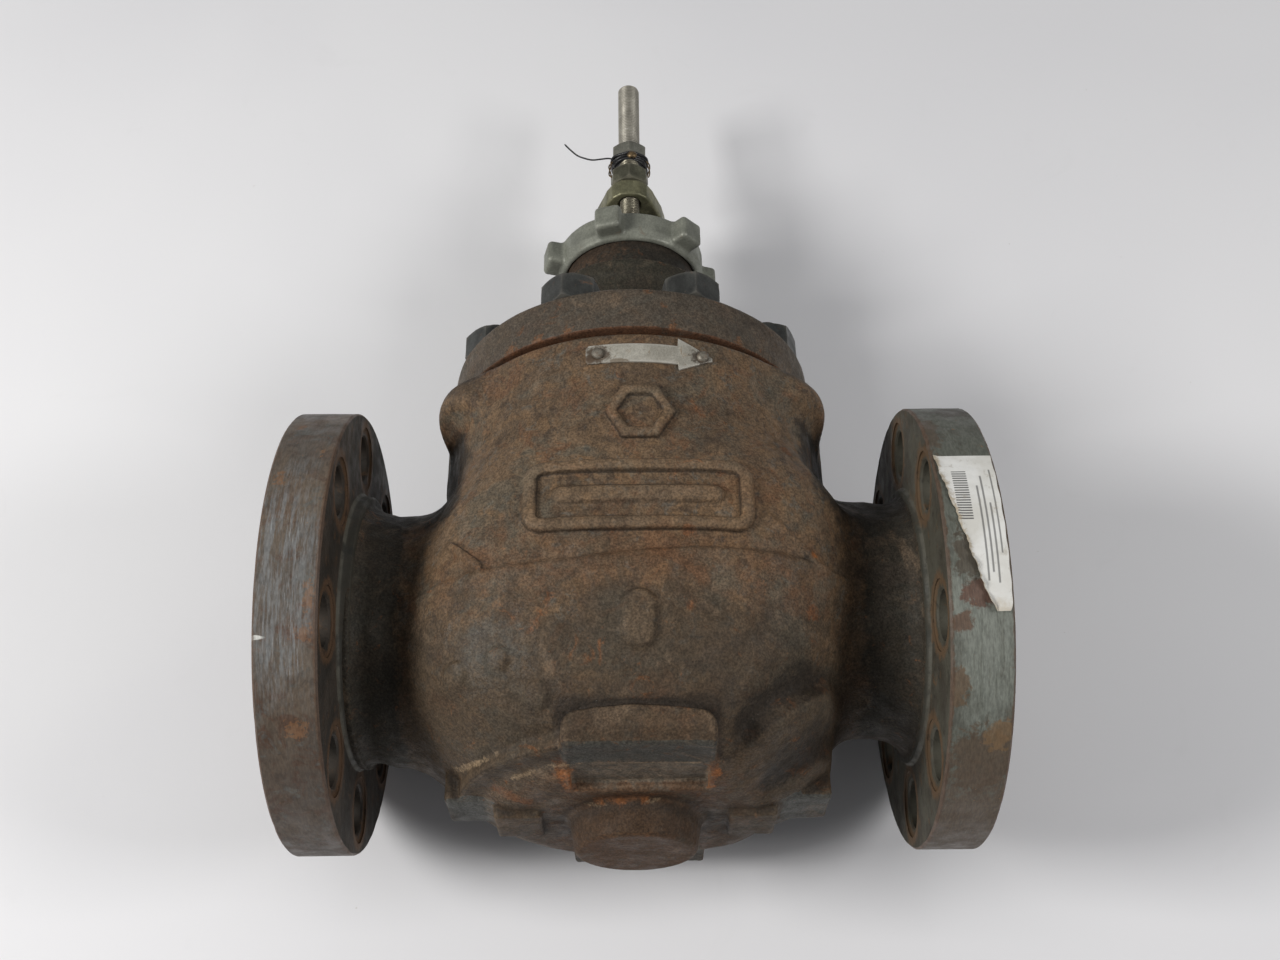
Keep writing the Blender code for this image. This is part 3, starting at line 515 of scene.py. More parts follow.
def field_normals(func, p, h=0.7):
    g = np.stack(
        [
            func(p[:, 0] + h, p[:, 1], p[:, 2]) - func(p[:, 0] - h, p[:, 1], p[:, 2]),
            func(p[:, 0], p[:, 1] + h, p[:, 2]) - func(p[:, 0], p[:, 1] - h, p[:, 2]),
            func(p[:, 0], p[:, 1], p[:, 2] + h) - func(p[:, 0], p[:, 1], p[:, 2] - h),
        ],
        1,
    )
    return g / (np.linalg.norm(g, axis=1, keepdims=True) + 1e-9)


# =====================================================================================
# materials
# =====================================================================================
class Shade:
    """A small builder for one procedural material. Lengths are millimetres; places are in the valve frame."""

    def __init__(self, name):
        self.mat = bpy.data.materials.new(name)
        self.mat.use_nodes = True
        self.tree = self.mat.node_tree
        self.tree.nodes.clear()
        self.out = self.node("ShaderNodeOutputMaterial")
        self.bsdf = self.node("ShaderNodeBsdfPrincipled")
        self.join(self.bsdf.outputs[0], self.out.inputs["Surface"])
        self.coord = self.node("ShaderNodeTexCoord").outputs["Object"]
        self.parts = None
        self.height = None

    def node(self, kind, **props):
        n = self.tree.nodes.new(kind)
        for key, value in props.items():
            setattr(n, key, value)
        return n

    def join(self, a, b):
        self.tree.links.new(a, b)

    def put(self, socket, value):
        if isinstance(value, bpy.types.NodeSocket):
            self.join(value, socket)
        elif isinstance(value, (tuple, list)):
            socket.default_value = (*value, 1.0) if socket.type == "RGBA" and len(value) == 3 else value
        else:
            socket.default_value = value

    def place(self, seed=0, stretch=None):
        v = self.node("ShaderNodeVectorMath", operation="ADD")
        self.join(self.coord, v.inputs[0])
        v.inputs[1].default_value = (0.131 * seed, 0.237 * seed, 0.173 * seed)
        if stretch is None:
            return v.outputs[0]
        m = self.node("ShaderNodeVectorMath", operation="MULTIPLY")
        self.join(v.outputs[0], m.inputs[0])
        m.inputs[1].default_value = stretch
        return m.outputs[0]

    def noise(self, mm, detail=5.0, rough=0.6, warp=0.0, seed=0, stretch=None):
        n = self.node("ShaderNodeTexNoise")
        self.join(self.place(seed, stretch), n.inputs["Vector"])
        n.inputs["Scale"].default_value = 1000.0 / mm
        n.inputs["Detail"].default_value = detail
        n.inputs["Roughness"].default_value = rough
        n.inputs["Distortion"].default_value = warp
        return n.outputs[0]

    def cells(self, mm, seed=0, feature="F1", stretch=None):
        n = self.node("ShaderNodeTexVoronoi", feature=feature)
        self.join(self.place(seed, stretch), n.inputs["Vector"])
        n.inputs["Scale"].default_value = 1000.0 / mm
        return n.outputs["Distance"]

    def step(self, value, low, high, a=0.0, b=1.0):
        n = self.node("ShaderNodeMapRange", interpolation_type="SMOOTHSTEP")
        self.put(n.inputs[0], value)
        for i, v in zip((1, 2, 3, 4), (low, high, a, b)):
            n.inputs[i].default_value = v
        return n.outputs[0]

    def op(self, kind, a, b=0.0, clamp=False):
        n = self.node("ShaderNodeMath", operation=kind, use_clamp=clamp)
        self.put(n.inputs[0], a)
        self.put(n.inputs[1], b)
        return n.outputs[0]

    def mix(self, fac, a, b, blend="MIX"):
        n = self.node("ShaderNodeMix", data_type="RGBA", blend_type=blend)
        self.put(n.inputs[0], fac)
        self.put(n.inputs[6], a)
        self.put(n.inputs[7], b)
        return n.outputs[2]

    def attr(self, name):
        n = self.node("ShaderNodeAttribute", attribute_name=name)
        return n.outputs["Fac"]

    def xyz(self):
        if self.parts is None:
            n = self.node("ShaderNodeSeparateXYZ")
            self.join(self.coord, n.inputs[0])
            self.parts = (
                self.op("MULTIPLY", n.outputs[0], 1000.0),
                self.op("MULTIPLY", n.outputs[1], 1000.0),
                self.op("SUBTRACT", self.op("MULTIPLY", n.outputs[2], 1000.0), AXIS),
            )
        return self.parts

    def blob(self, centre, radii, ragged=0.5, soft=0.5, grain=14.0, seed=3):
        """1 at a place, 0 outside an ellipsoid, with a ragged edge."""
        total = None
        for axis, c, r in zip(self.xyz(), centre, radii):
            d = self.op("DIVIDE", self.op("SUBTRACT", axis, float(c)), float(r))
            sq = self.op("MULTIPLY", d, d)
            total = sq if total is None else self.op("ADD", total, sq)
        d = self.op("SQRT", total)
        wob = self.op("MULTIPLY", self.op("SUBTRACT", self.noise(grain, 5, 0.65, 0.4, seed), 0.5), ragged * 4)
        return self.step(self.op("ADD", d, wob), 1.0 + soft / 2, 1.0 - soft / 2)

    def normal_part(self, axis):
        g = self.node("ShaderNodeNewGeometry")
        s = self.node("ShaderNodeSeparateXYZ")
        self.join(g.outputs["True Normal"], s.inputs[0])
        return s.outputs[axis]

    def add_height(self, value, mm):
        h = self.op("MULTIPLY", value, mm * MM)
        self.height = h if self.height is None else self.op("ADD", self.height, h)

    def done(self, colour, rough=0.6, metal=0.0, spec=0.4, bump=1.0):
        self.put(self.bsdf.inputs["Base Color"], colour)
        self.put(self.bsdf.inputs["Roughness"], rough)
        self.put(self.bsdf.inputs["Metallic"], metal)
        self.put(self.bsdf.inputs["Specular IOR Level"], spec)
        if self.height is not None:
            b = self.node("ShaderNodeBump")
            b.inputs["Strength"].default_value = bump
            b.inputs["Distance"].default_value = 1.0
            self.join(self.height, b.inputs["Height"])
            self.join(b.outputs[0], self.bsdf.inputs["Normal"])
        return self.mat


def casting_material(name, tone=1.0, warm=1.0, grit=1.0, zones=()):
    """Brown rusted iron: mottled brown and umber, dark in the hollows, warm rust bloom, worn edges."""
    s = Shade(name)
    t = tone
    a, b = (0.146 * t, 0.097 * t, 0.058 * t), (0.098 * t, 0.067 * t, 0.042 * t)
    col = s.mix(s.step(s.noise(60, 4, 0.6, 0.5, 1), 0.40, 0.60), a, b)
    col = s.mix(s.op("MULTIPLY", s.step(s.noise(16, 6, 0.65, 0.6, 2), 0.46, 0.66), 0.75), col, (0.180 * t, 0.110 * t * warm, 0.058 * t))
    col = s.mix(s.op("MULTIPLY", s.step(s.noise(7, 6, 0.7, 0.3, 3), 0.52, 0.64), 0.70), col, (0.056 * t, 0.039 * t, 0.028 * t))
    col = s.mix(s.op("MULTIPLY", s.step(s.noise(24, 5, 0.6, 0.8, 4), 0.54, 0.68), 0.55), col, (0.088 * t, 0.076 * t, 0.058 * t))
    col = s.mix(s.op("MULTIPLY", s.step(s.noise(8, 7, 0.72, 0.5, 31), 0.54, 0.64), 0.55), col, (0.096 * t, 0.098 * t, 0.088 * t))
    col = s.mix(s.op("MULTIPLY", s.step(s.noise(17, 6, 0.7, 0.7, 32), 0.54, 0.66), 0.60), col, (0.140 * t, 0.070 * t, 0.036 * t))
    drift = s.step(s.noise(42, 5, 0.62, 1.0, 33), 0.50, 0.62)
    col = s.mix(s.op("MULTIPLY", drift, 0.55), col, (0.094 * t, 0.088 * t, 0.068 * t))
    drift = s.step(s.noise(30, 6, 0.66, 1.2, 34), 0.55, 0.66)
    col = s.mix(s.op("MULTIPLY", drift, 0.60), col, (0.132 * t, 0.066 * t, 0.034 * t))
    # zone colours: (attribute, colour, strength, grain)
    for index, (key, colour, strength, grain, low, high) in enumerate(zones):
        n = s.noise(grain, 6, 0.68, 0.5, 10 + index)
        m = s.step(s.op("ADD", s.attr(key), s.op("MULTIPLY", s.op("SUBTRACT", n, 0.5), 1.6)), low, high)
        col = s.mix(s.op("MULTIPLY", m, strength), col, colour)
    # rust bloom in broken patches, stronger by the hollows
    near = s.op("MULTIPLY", s.step(s.attr("cav"), 0.08, 0.5), 0.10)
    bloom = s.step(s.op("ADD", s.noise(11, 8, 0.72, 1.0, 5), near), 0.59, 0.70)
    col = s.mix(s.op("MULTIPLY", bloom, 0.62), col, (0.190 * t, 0.078 * t, 0.030 * t))
    spot = s.step(s.noise(4.0, 6, 0.72, 0.4, 6), 0.66, 0.73)
    col = s.mix(s.op("MULTIPLY", spot, 0.60), col, (0.25 * t, 0.118 * t, 0.045 * t))
    # broad smoky stains and a few vertical runs
    smoke = s.step(s.noise(34, 6, 0.64, 0.9, 35), 0.53, 0.66)
    col = s.mix(s.op("MULTIPLY", smoke, 0.52), col, (0.050 * t, 0.038 * t, 0.028 * t))
    runs = s.step(s.noise(9, 6, 0.70, 0.3, 36, stretch=(1.0, 1.0, 0.28)), 0.56, 0.68)
    col = s.mix(s.op("MULTIPLY", runs, 0.34), col, (0.066 * t, 0.047 * t, 0.033 * t))
    clean = s.step(s.noise(28, 6, 0.66, 0.8, 37), 0.56, 0.68)
    col = s.mix(s.op("MULTIPLY", clean, 0.34), col, (0.205 * t, 0.142 * t, 0.092 * t))
    # dirt and painted shade (occlusion) in the hollows, dull light wear on the edges
    col = s.mix(s.op("MULTIPLY", s.step(s.attr("cav"), 0.06, 0.60), 0.84), col, (0.020, 0.015, 0.011))
    col = s.mix(s.op("MULTIPLY", s.step(s.attr("cavm"), 0.08, 0.50), 0.66), col, (0.024, 0.018, 0.013))
    col = s.mix(s.op("MULTIPLY", s.step(s.attr("cavl"), 0.12, 0.6), 0.45), col, (0.030, 0.022, 0.016))
    wear = s.op("MULTIPLY", s.step(s.attr("edge"), 0.30, 0.75), s.step(s.noise(4, 6, 0.7, 0.2, 7), 0.42, 0.60))
    col = s.mix(s.op("MULTIPLY", wear, 0.42), col, (0.230 * t, 0.165 * t, 0.110 * t))
    # mottling at three finer sizes: clouds, blotches, grain
    cloud = s.step(s.noise(5.0, 5, 0.68, 0.5, 41), 0.34, 0.66)
    col = s.mix(0.20, col, s.mix(cloud, (0.42, 0.41, 0.40), (1.62, 1.60, 1.58)), "MULTIPLY")
    blotch = s.step(s.noise(2.3, 4, 0.66, 0.3, 42), 0.36, 0.64)
    col = s.mix(0.20, col, s.mix(blotch, (0.45, 0.43, 0.42), (1.58, 1.58, 1.58)), "MULTIPLY")
    fine = s.step(s.noise(1.0, 3, 0.62, 0.0, 8), 0.36, 0.64)
    col = s.mix(0.38, col, s.mix(fine, (0.25, 0.24, 0.23), (1.72, 1.70, 1.68)), "MULTIPLY")
    pits = s.step(s.cells(3.2, 9), 0.0, 0.22, 1.0, 0.0)
    col = s.mix(s.op("MULTIPLY", pits, 0.45), col, (0.026, 0.019, 0.015))
    glint = s.step(s.noise(1.3, 4, 0.7, 0.0, 43), 0.68, 0.74)
    col = s.mix(s.op("MULTIPLY", glint, 0.45), col, (0.26 * t, 0.235 * t, 0.205 * t))
    s.add_height(s.noise(0.9, 4, 0.6, 0.0, 20), 0.24 * grit)
    s.add_height(s.noise(2.6, 5, 0.65, 0.2, 21), 0.60 * grit)
    s.add_height(s.noise(9.0, 4, 0.55, 0.2, 22), 0.75 * grit)
    s.add_height(pits, -0.12 * grit)
    s.add_height(bloom, 0.05)
    rough = s.step(s.noise(8, 5, 0.6, 0.3, 12), 0.3, 0.7, 0.50, 0.78)
    rough = s.op("ADD", rough, s.op("MULTIPLY", bloom, 0.12), clamp=True)
    # less rough where the grey sheen is painted
    rough = s.op("SUBTRACT", rough, s.op("MULTIPLY", s.attr("grey_sheen"), 0.18), clamp=True)
    return s.done(col, rough, 0.0, 0.22)


def rim_material(name, paint, patch, bare, dirt, side):
    """The painted or bare rim of an end flange with rust, scrapes and brush marks."""
    s = Shade(name)
    x, y, z = s.xyz()
    col = s.mix(s.step(s.noise(34, 5, 0.6, 0.5, 1), 0.40, 0.62), paint, patch)
    streak = s.noise(3.2, 5, 0.7, 0.0, 2, stretch=(1.0, 0.13, 0.13))
    col = s.mix(s.op("MULTIPLY", s.step(streak, 0.44, 0.66), 0.45), col, bare)
    col = s.mix(s.op("MULTIPLY", s.step(s.noise(6, 6, 0.7, 0.4, 3), 0.52, 0.64), 0.6), col, dirt)
    if side < 0:
        red = s.op("MULTIPLY", s.step(s.noise(13, 7, 0.72, 0.9, 21), 0.50, 0.62), s.step(z, 30.0, -60.0, 0.35, 0.92))
        col = s.mix(red, col, (0.082, 0.042, 0.026))
        col = s.mix(s.op("MULTIPLY", s.step(z, -40.0, -85.0), 0.45), col, (0.060, 0.040, 0.027))
        teal = s.step(s.noise(10, 7, 0.72, 0.6, 22), 0.54, 0.64)
        col = s.mix(s.op("MULTIPLY", teal, 0.55), col, (0.098, 0.104, 0.098))
        zone = s.blob((-146, -98, -26), (15, 40, 46), 0.42, 0.9, 18, 4)
        brush = s.step(s.noise(1.6, 4, 0.7, 0.0, 5, stretch=(1.0, 0.09, 0.09)), 0.42, 0.60)
        col = s.mix(s.op("MULTIPLY", s.op("MULTIPLY", zone, brush), 0.75), col, (0.165, 0.170, 0.172))
        hair = s.step(s.noise(0.8, 4, 0.7, 0.0, 23, stretch=(1.0, 0.05, 0.05)), 0.60, 0.68)
        col = s.mix(s.op("MULTIPLY", s.op("MULTIPLY", zone, hair), 0.8), col, (0.27, 0.275, 0.275))
        for k, (c, r) in enumerate((((-150, -84, 62), (3, 5, 3)), ((-136, -96, -46), (4, 5, 4)), ((-140, -70, -78), (5, 6, 4)), ((-152, -100, 24), (3, 4, 5)), ((-134, -99, -30), (2.5, 5, 8)))):
            m = s.blob(c, tuple(0.8 * q for q in r), 1.3, 0.45, 1.8, 30 + k)
            col = s.mix(s.op("MULTIPLY", m, 0.50), col, (0.20, 0.095, 0.040))
        nick = s.blob((-157, -93.0, -47), (5.0, 5, 0.9), 0.12, 0.4, 6, 40)
        col = s.mix(nick, col, (0.55, 0.55, 0.52))
    else:
        brown = s.step(s.noise(7, 8, 0.75, 0.8, 24), 0.565, 0.63)
        col = s.mix(s.op("MULTIPLY", brown, 0.22), col, (0.088, 0.070, 0.046))
        foot = s.step(s.op("ADD", z, s.op("MULTIPLY", s.op("SUBTRACT", s.noise(5, 7, 0.72, 0.6, 26), 0.5), 44.0)), -87.0, -101.0)
        col = s.mix(s.op("MULTIPLY", foot, 0.72), col, (0.098, 0.060, 0.034))
        pale = s.blob((147, -100, -46), (17, 42, 44), 0.45, 0.8, 10, 25)
        brush = s.step(s.noise(1.6, 4, 0.7, 0.0, 5, stretch=(1.0, 0.09, 0.09)), 0.28, 0.54)
        col = s.mix(s.op("MULTIPLY", s.op("MULTIPLY", pale, brush), 0.84), col, (0.192, 0.206, 0.180))
        hair = s.step(s.noise(0.9, 4, 0.7, 0.0, 23, stretch=(1.0, 0.07, 0.07)), 0.58, 0.68)
        col = s.mix(s.op("MULTIPLY", hair, 0.35), col, (0.165, 0.170, 0.150))
        for k, (c, r, colour) in enumerate(
            (
                ((144.5, -100, -33), (8, 13, 5.5), (0.098, 0.040, 0.024)),
                ((136.0, -96, -44), (4, 9, 4), (0.10, 0.050, 0.028)),
                ((146.0, -58, -90), (16, 22, 11), (0.088, 0.058, 0.036)),
                ((152.0, -66, -82), (6, 12, 5), (0.160, 0.098, 0.048)),
                ((134.0, -82, -66), (4, 12, 7), (0.110, 0.070, 0.040)),
                ((139.0, -103, -16), (5, 9, 11), (0.060, 0.045, 0.030)),
                ((150.0, -74, 74), (9, 14, 8), (0.055, 0.045, 0.034)),
                ((133.0, -90, 52), (4, 12, 16), (0.080, 0.056, 0.036)),
            )
        ):
            m = s.blob(c, r, 0.75, 0.45, 4.5, 30 + k)
            col = s.mix(s.op("MULTIPLY", m, 0.80), col, colour)
    # both corners of the rim wear down to brown
    ax = s.op("ABSOLUTE", x)
    edge = s.op("MAXIMUM", s.step(ax, 133.2, 130.6), s.step(ax, 155.2, 157.0))
    edge = s.step(s.op("ADD", edge, s.op("MULTIPLY", s.op("SUBTRACT", s.noise(6, 6, 0.7, 0.3, 8), 0.5), 1.8)), 0.35, 0.85)
    col = s.mix(s.op("MULTIPLY", edge, 0.8), col, (0.085, 0.048, 0.028))
    spot = s.step(s.noise(3.6, 6, 0.75, 0.4, 9), 0.655, 0.70)
    col = s.mix(s.op("MULTIPLY", spot, 0.8), col, (0.24, 0.115, 0.042))
    fine = s.noise(0.9, 3, 0.6, 0.0, 11, stretch=(1.0, 0.3, 0.3))
    col = s.mix(0.30, col, s.mix(s.step(fine, 0.35, 0.65), (0.4, 0.4, 0.4), (1.5, 1.5, 1.5)), "MULTIPLY")
    s.add_height(s.noise(1.3, 4, 0.6, 0.0, 13, stretch=(1.0, 0.2, 0.2)), 0.06)
    s.add_height(s.noise(7, 5, 0.65, 0.2, 14), 0.22)
    s.add_height(spot, 0.05)
    rough = s.step(s.noise(9, 5, 0.6, 0.2, 15), 0.3, 0.7, 0.42, 0.70)
    return s.done(col, rough, 0.0, 0.45)


def face_material(name, base, dark, rust, side):
    """The inner and gasket faces of an end flange: dark dirt with rust rings round the bolt holes."""
    s = Shade(name)
    x, y, z = s.xyz()
    col = s.mix(s.step(s.noise(28, 5, 0.6, 0.4, 1), 0.40, 0.62), base, dark)
    r = s.op("SQRT", s.op("ADD", s.op("MULTIPLY", y, y), s.op("MULTIPLY", z, z)))
    # angle folded into one eighth, to find the nearest hole
    ang = s.op("ARCTAN2", z, y)
    fold = s.op("PINGPONG", s.op("ADD", ang, math.pi), math.pi / 8)
    off = s.op("SUBTRACT", math.pi / 8, fold)
    hx = s.op("SUBTRACT", s.op("MULTIPLY", r, s.op("COSINE", off)), 84.05)
    hy = s.op("MULTIPLY", r, s.op("SINE", off))
    hole = s.op("SQRT", s.op("ADD", s.op("MULTIPLY", hx, hx), s.op("MULTIPLY", hy, hy)))
    hole = s.op("ADD", hole, s.op("MULTIPLY", s.op("SUBTRACT", s.noise(6, 5, 0.7, 0.3, 4), 0.5), 9.0))
    ring = s.op("MULTIPLY", s.step(hole, 12.0, 14.5), s.step(hole, 20.5, 17.0))
    col = s.mix(s.op("MULTIPLY", ring, 0.7), col, rust)
    col = s.mix(s.op("MULTIPLY", s.step(s.noise(8, 6, 0.7, 0.5, 3), 0.56, 0.68), 0.65), col, rust)
    col = s.mix(s.op("MULTIPLY", s.step(s.noise(5, 6, 0.7, 0.5, 5), 0.54, 0.66), 0.6), col, (0.02, 0.017, 0.014))
    # the narrow turned land against the casting, its corner lighter: wear and a painted highlight
    ax = s.op("ABSOLUTE", x)
    land = s.op("MULTIPLY", s.step(r, 66.6, 65.8), s.step(ax, 131.0, 130.4))
    patchy = s.step(s.noise(11, 6, 0.7, 0.4, 6), 0.36, 0.62)
    col = s.mix(s.op("MULTIPLY", land, 0.75), col, s.mix(patchy, (0.030, 0.031, 0.025), (0.044, 0.041, 0.031)))
    corner = s.op("MULTIPLY", s.step(r, 67.2, 66.2), s.op("MULTIPLY", s.step(ax, 128.6, 129.4), s.step(ax, 131.0, 130.5)))
    col = s.mix(s.op("MULTIPLY", s.op("MULTIPLY", corner, patchy), 0.8), col, (0.105, 0.100, 0.080))
    s.add_height(s.noise(1.1, 4, 0.6, 0.0, 13), 0.08)
    s.add_height(s.noise(6, 5, 0.65, 0.2, 14), 0.30)
    rough = s.step(s.noise(9, 5, 0.6, 0.2, 15), 0.3, 0.7, 0.50, 0.78)
    return s.done(col, rough, 0.0, 0.35)


def metal_material(name, base, dark, stain, rough=(0.35, 0.55), metal=0.7, stain_at=(0.58, 0.66), grain=5.0, stretch=None, bump=1.0, edge=None, marks=()):
    """Plain metal with tarnish, stain patches, scratches and a fine grain."""
    s = Shade(name)
    col = s.mix(s.step(s.noise(grain * 3.2, 5, 0.6, 0.4, 1), 0.38, 0.64), base, dark)
    col = s.mix(s.op("MULTIPLY", s.step(s.noise(grain, 6, 0.7, 0.4, 2), 0.50, 0.64), 0.5), col, dark)
    patch = s.step(s.noise(grain * 1.7, 7, 0.72, 0.6, 3), *stain_at)
    col = s.mix(s.op("MULTIPLY", patch, 0.8), col, stain)
    fine = s.noise(grain * 0.22, 3, 0.6, 0.0, 4, stretch=stretch)
    col = s.mix(0.28, col, s.mix(s.step(fine, 0.35, 0.65), (0.5, 0.5, 0.5), (1.4, 1.4, 1.4)), "MULTIPLY")
    if edge:
        ptn = s.node("ShaderNodeNewGeometry").outputs["Pointiness"]
        col = s.mix(s.op("MULTIPLY", s.step(ptn, 0.52, 0.58), 0.6), col, edge)
    for k, (centre, radii, colour, strength) in enumerate(marks):
        col = s.mix(s.op("MULTIPLY", s.blob(centre, radii, 0.55, 0.6, 2.0, 50 + k), strength), col, colour)
    if marks:
        col = s.mix(s.op("MULTIPLY", s.step(s.noise(1.4, 5, 0.7, 0.0, 60), 0.70, 0.73), 0.9), col, (0.03, 0.025, 0.02))
    s.add_height(fine, 0.05 * bump)
    s.add_height(s.noise(grain, 5, 0.65, 0.2, 5), 0.16 * bump)
    s.add_height(patch, 0.04 * bump)
    r = s.step(s.noise(grain * 1.3, 5, 0.6, 0.2, 6), 0.3, 0.7, *rough)
    r = s.op("ADD", r, s.op("MULTIPLY", patch, 0.22), clamp=True)
    m = s.op("MULTIPLY", s.op("SUBTRACT", 1.0, patch), metal)
    return s.done(col, r, m, 0.45)


# =====================================================================================
# casting
# =====================================================================================
CAST_ZONES = (
    # attribute, colour, strength, grain mm, threshold low, high
    ("warm", (0.138, 0.070, 0.035), 0.50, 9.0, 0.40, 0.95),
    ("low", (0.052, 0.039, 0.026), 0.72, 20.0, 0.42, 0.98),
    # painted sheen: a grey tint on the lower inlet bulb
    ("grey_sheen", (0.088, 0.084, 0.072), 0.60, 6.0, 0.45, 0.90),
    ("neck", (0.029, 0.027, 0.021), 0.90, 12.0, 0.30, 0.80),
    # painted shade: side walls above the necks, shaded by the end flanges
    ("side", (0.021, 0.018, 0.014), 0.90, 11.0, 0.35, 0.90),
    # painted shade in the two hollows beside the low diagonal ridge
    ("hollow", (0.027, 0.022, 0.017), 0.85, 8.0, 0.30, 0.95),
    ("foot", (0.050, 0.052, 0.046), 0.75, 4.0, 0.40, 0.80),
    ("lugface", (0.080, 0.085, 0.080), 0.80, 4.0, 0.35, 0.75),
    # painted highlight: lighter tops on the raised front marks
    ("mark_highlight", (0.190, 0.132, 0.082), 0.38, 5.0, 0.40, 1.05),
    ("strip", (0.112, 0.098, 0.078), 0.80, 4.0, 0.35, 0.75),
    ("red", (0.084, 0.042, 0.020), 0.85, 8.0, 0.40, 0.88),
    # the bottom boss's side wall: its reddish brown, darkened with painted shade to match its bottom face
    ("wall", (0.052, 0.031, 0.018), 0.85, 6.0, 0.35, 0.80),
    ("orange", (0.165, 0.066, 0.026), 0.72, 2.8, 0.62, 1.05),
    ("fire", (0.270, 0.095, 0.026), 0.80, 2.2, 0.55, 0.95),
    ("tan", (0.270, 0.195, 0.120), 0.80, 1.7, 0.66, 1.02),
    ("inside", (0.050, 0.044, 0.040), 0.75, 8.0, 0.40, 0.90),
)
# thin pale and rusty streaks along the low edges: points and a half width
TAN_LINES = (
    (((-81, -22, -79.5), (-66.4, -43.1, -82.7), (-57, -53.4, -83.5)), 3.4),
    (((-52.0, -43.0, -89.5), (-36.0, -56.0, -89.9), (-29, -59, -89.5)), 3.0),
    (((-24, -60, -90), (-6.4, -60.2, -90), (10.2, -59.8, -90), (27, -59.5, -90)), 1.7),
    (((-22, -24, -95.4), (-6, -27, -96.2), (10, -30, -95.5)), 2.4),
)
FIRE_SPOTS = ((-29.5, -52, -91, 6.5), (-28, -44, -94, 4.5), (33.5, -52, -91, 4.5), (32, -42, -94, 4), (-16, -28, -95.5, 4), (-6, -29, -96, 3.5), (4, -31, -96, 3.5), (36, -99, 8, 2.5), (78, -80, -4, 3))
RUST_LINES = (
    (((-31, -62, -86), (-30, -50, -92), (-27, -40, -95)), 6.5),
    (((33, -60, -88), (32, -45, -93)), 4.5),
    (((-60, -30, -92), (-48, -26, -94)), 7.0),
    (((-14, -30, -96), (8, -34, -95)), 4.0),
    (((-34, -93, -30), (-42, -90, -42)), 6.0),
    (((56, -86, -4), (48, -90, 6)), 4.5),
)
ORANGE_SPOTS = ((24, -98, -36, 5), (78, -76, -30, 7), (60, -84, 2, 6), (24, -98, -1, 6), (86, -62, -12, 7), (70, -76, 52, 6), (-20, -94, 4, 5))


def line_zone(p, lines):
    """1 on a polyline, falling to 0 about a width away."""
    out = np.zeros(len(p))
    for points, width in lines:
        for a, b in zip(points[:-1], points[1:]):
            d = capsule(p[:, 0], p[:, 1], p[:, 2], a, b, 0.0)
            out = np.maximum(out, np.clip(1.3 - d / width, 0, 1))
    return out


def sphere_zone(p, spots):
    out = np.zeros(len(p))
    for x, y, z, r in spots:
        d = np.sqrt((p[:, 0] - x) ** 2 + (p[:, 1] - y) ** 2 + (p[:, 2] - z) ** 2)
        out = np.maximum(out, np.clip(1.35 - d / r, 0, 1))
    return out


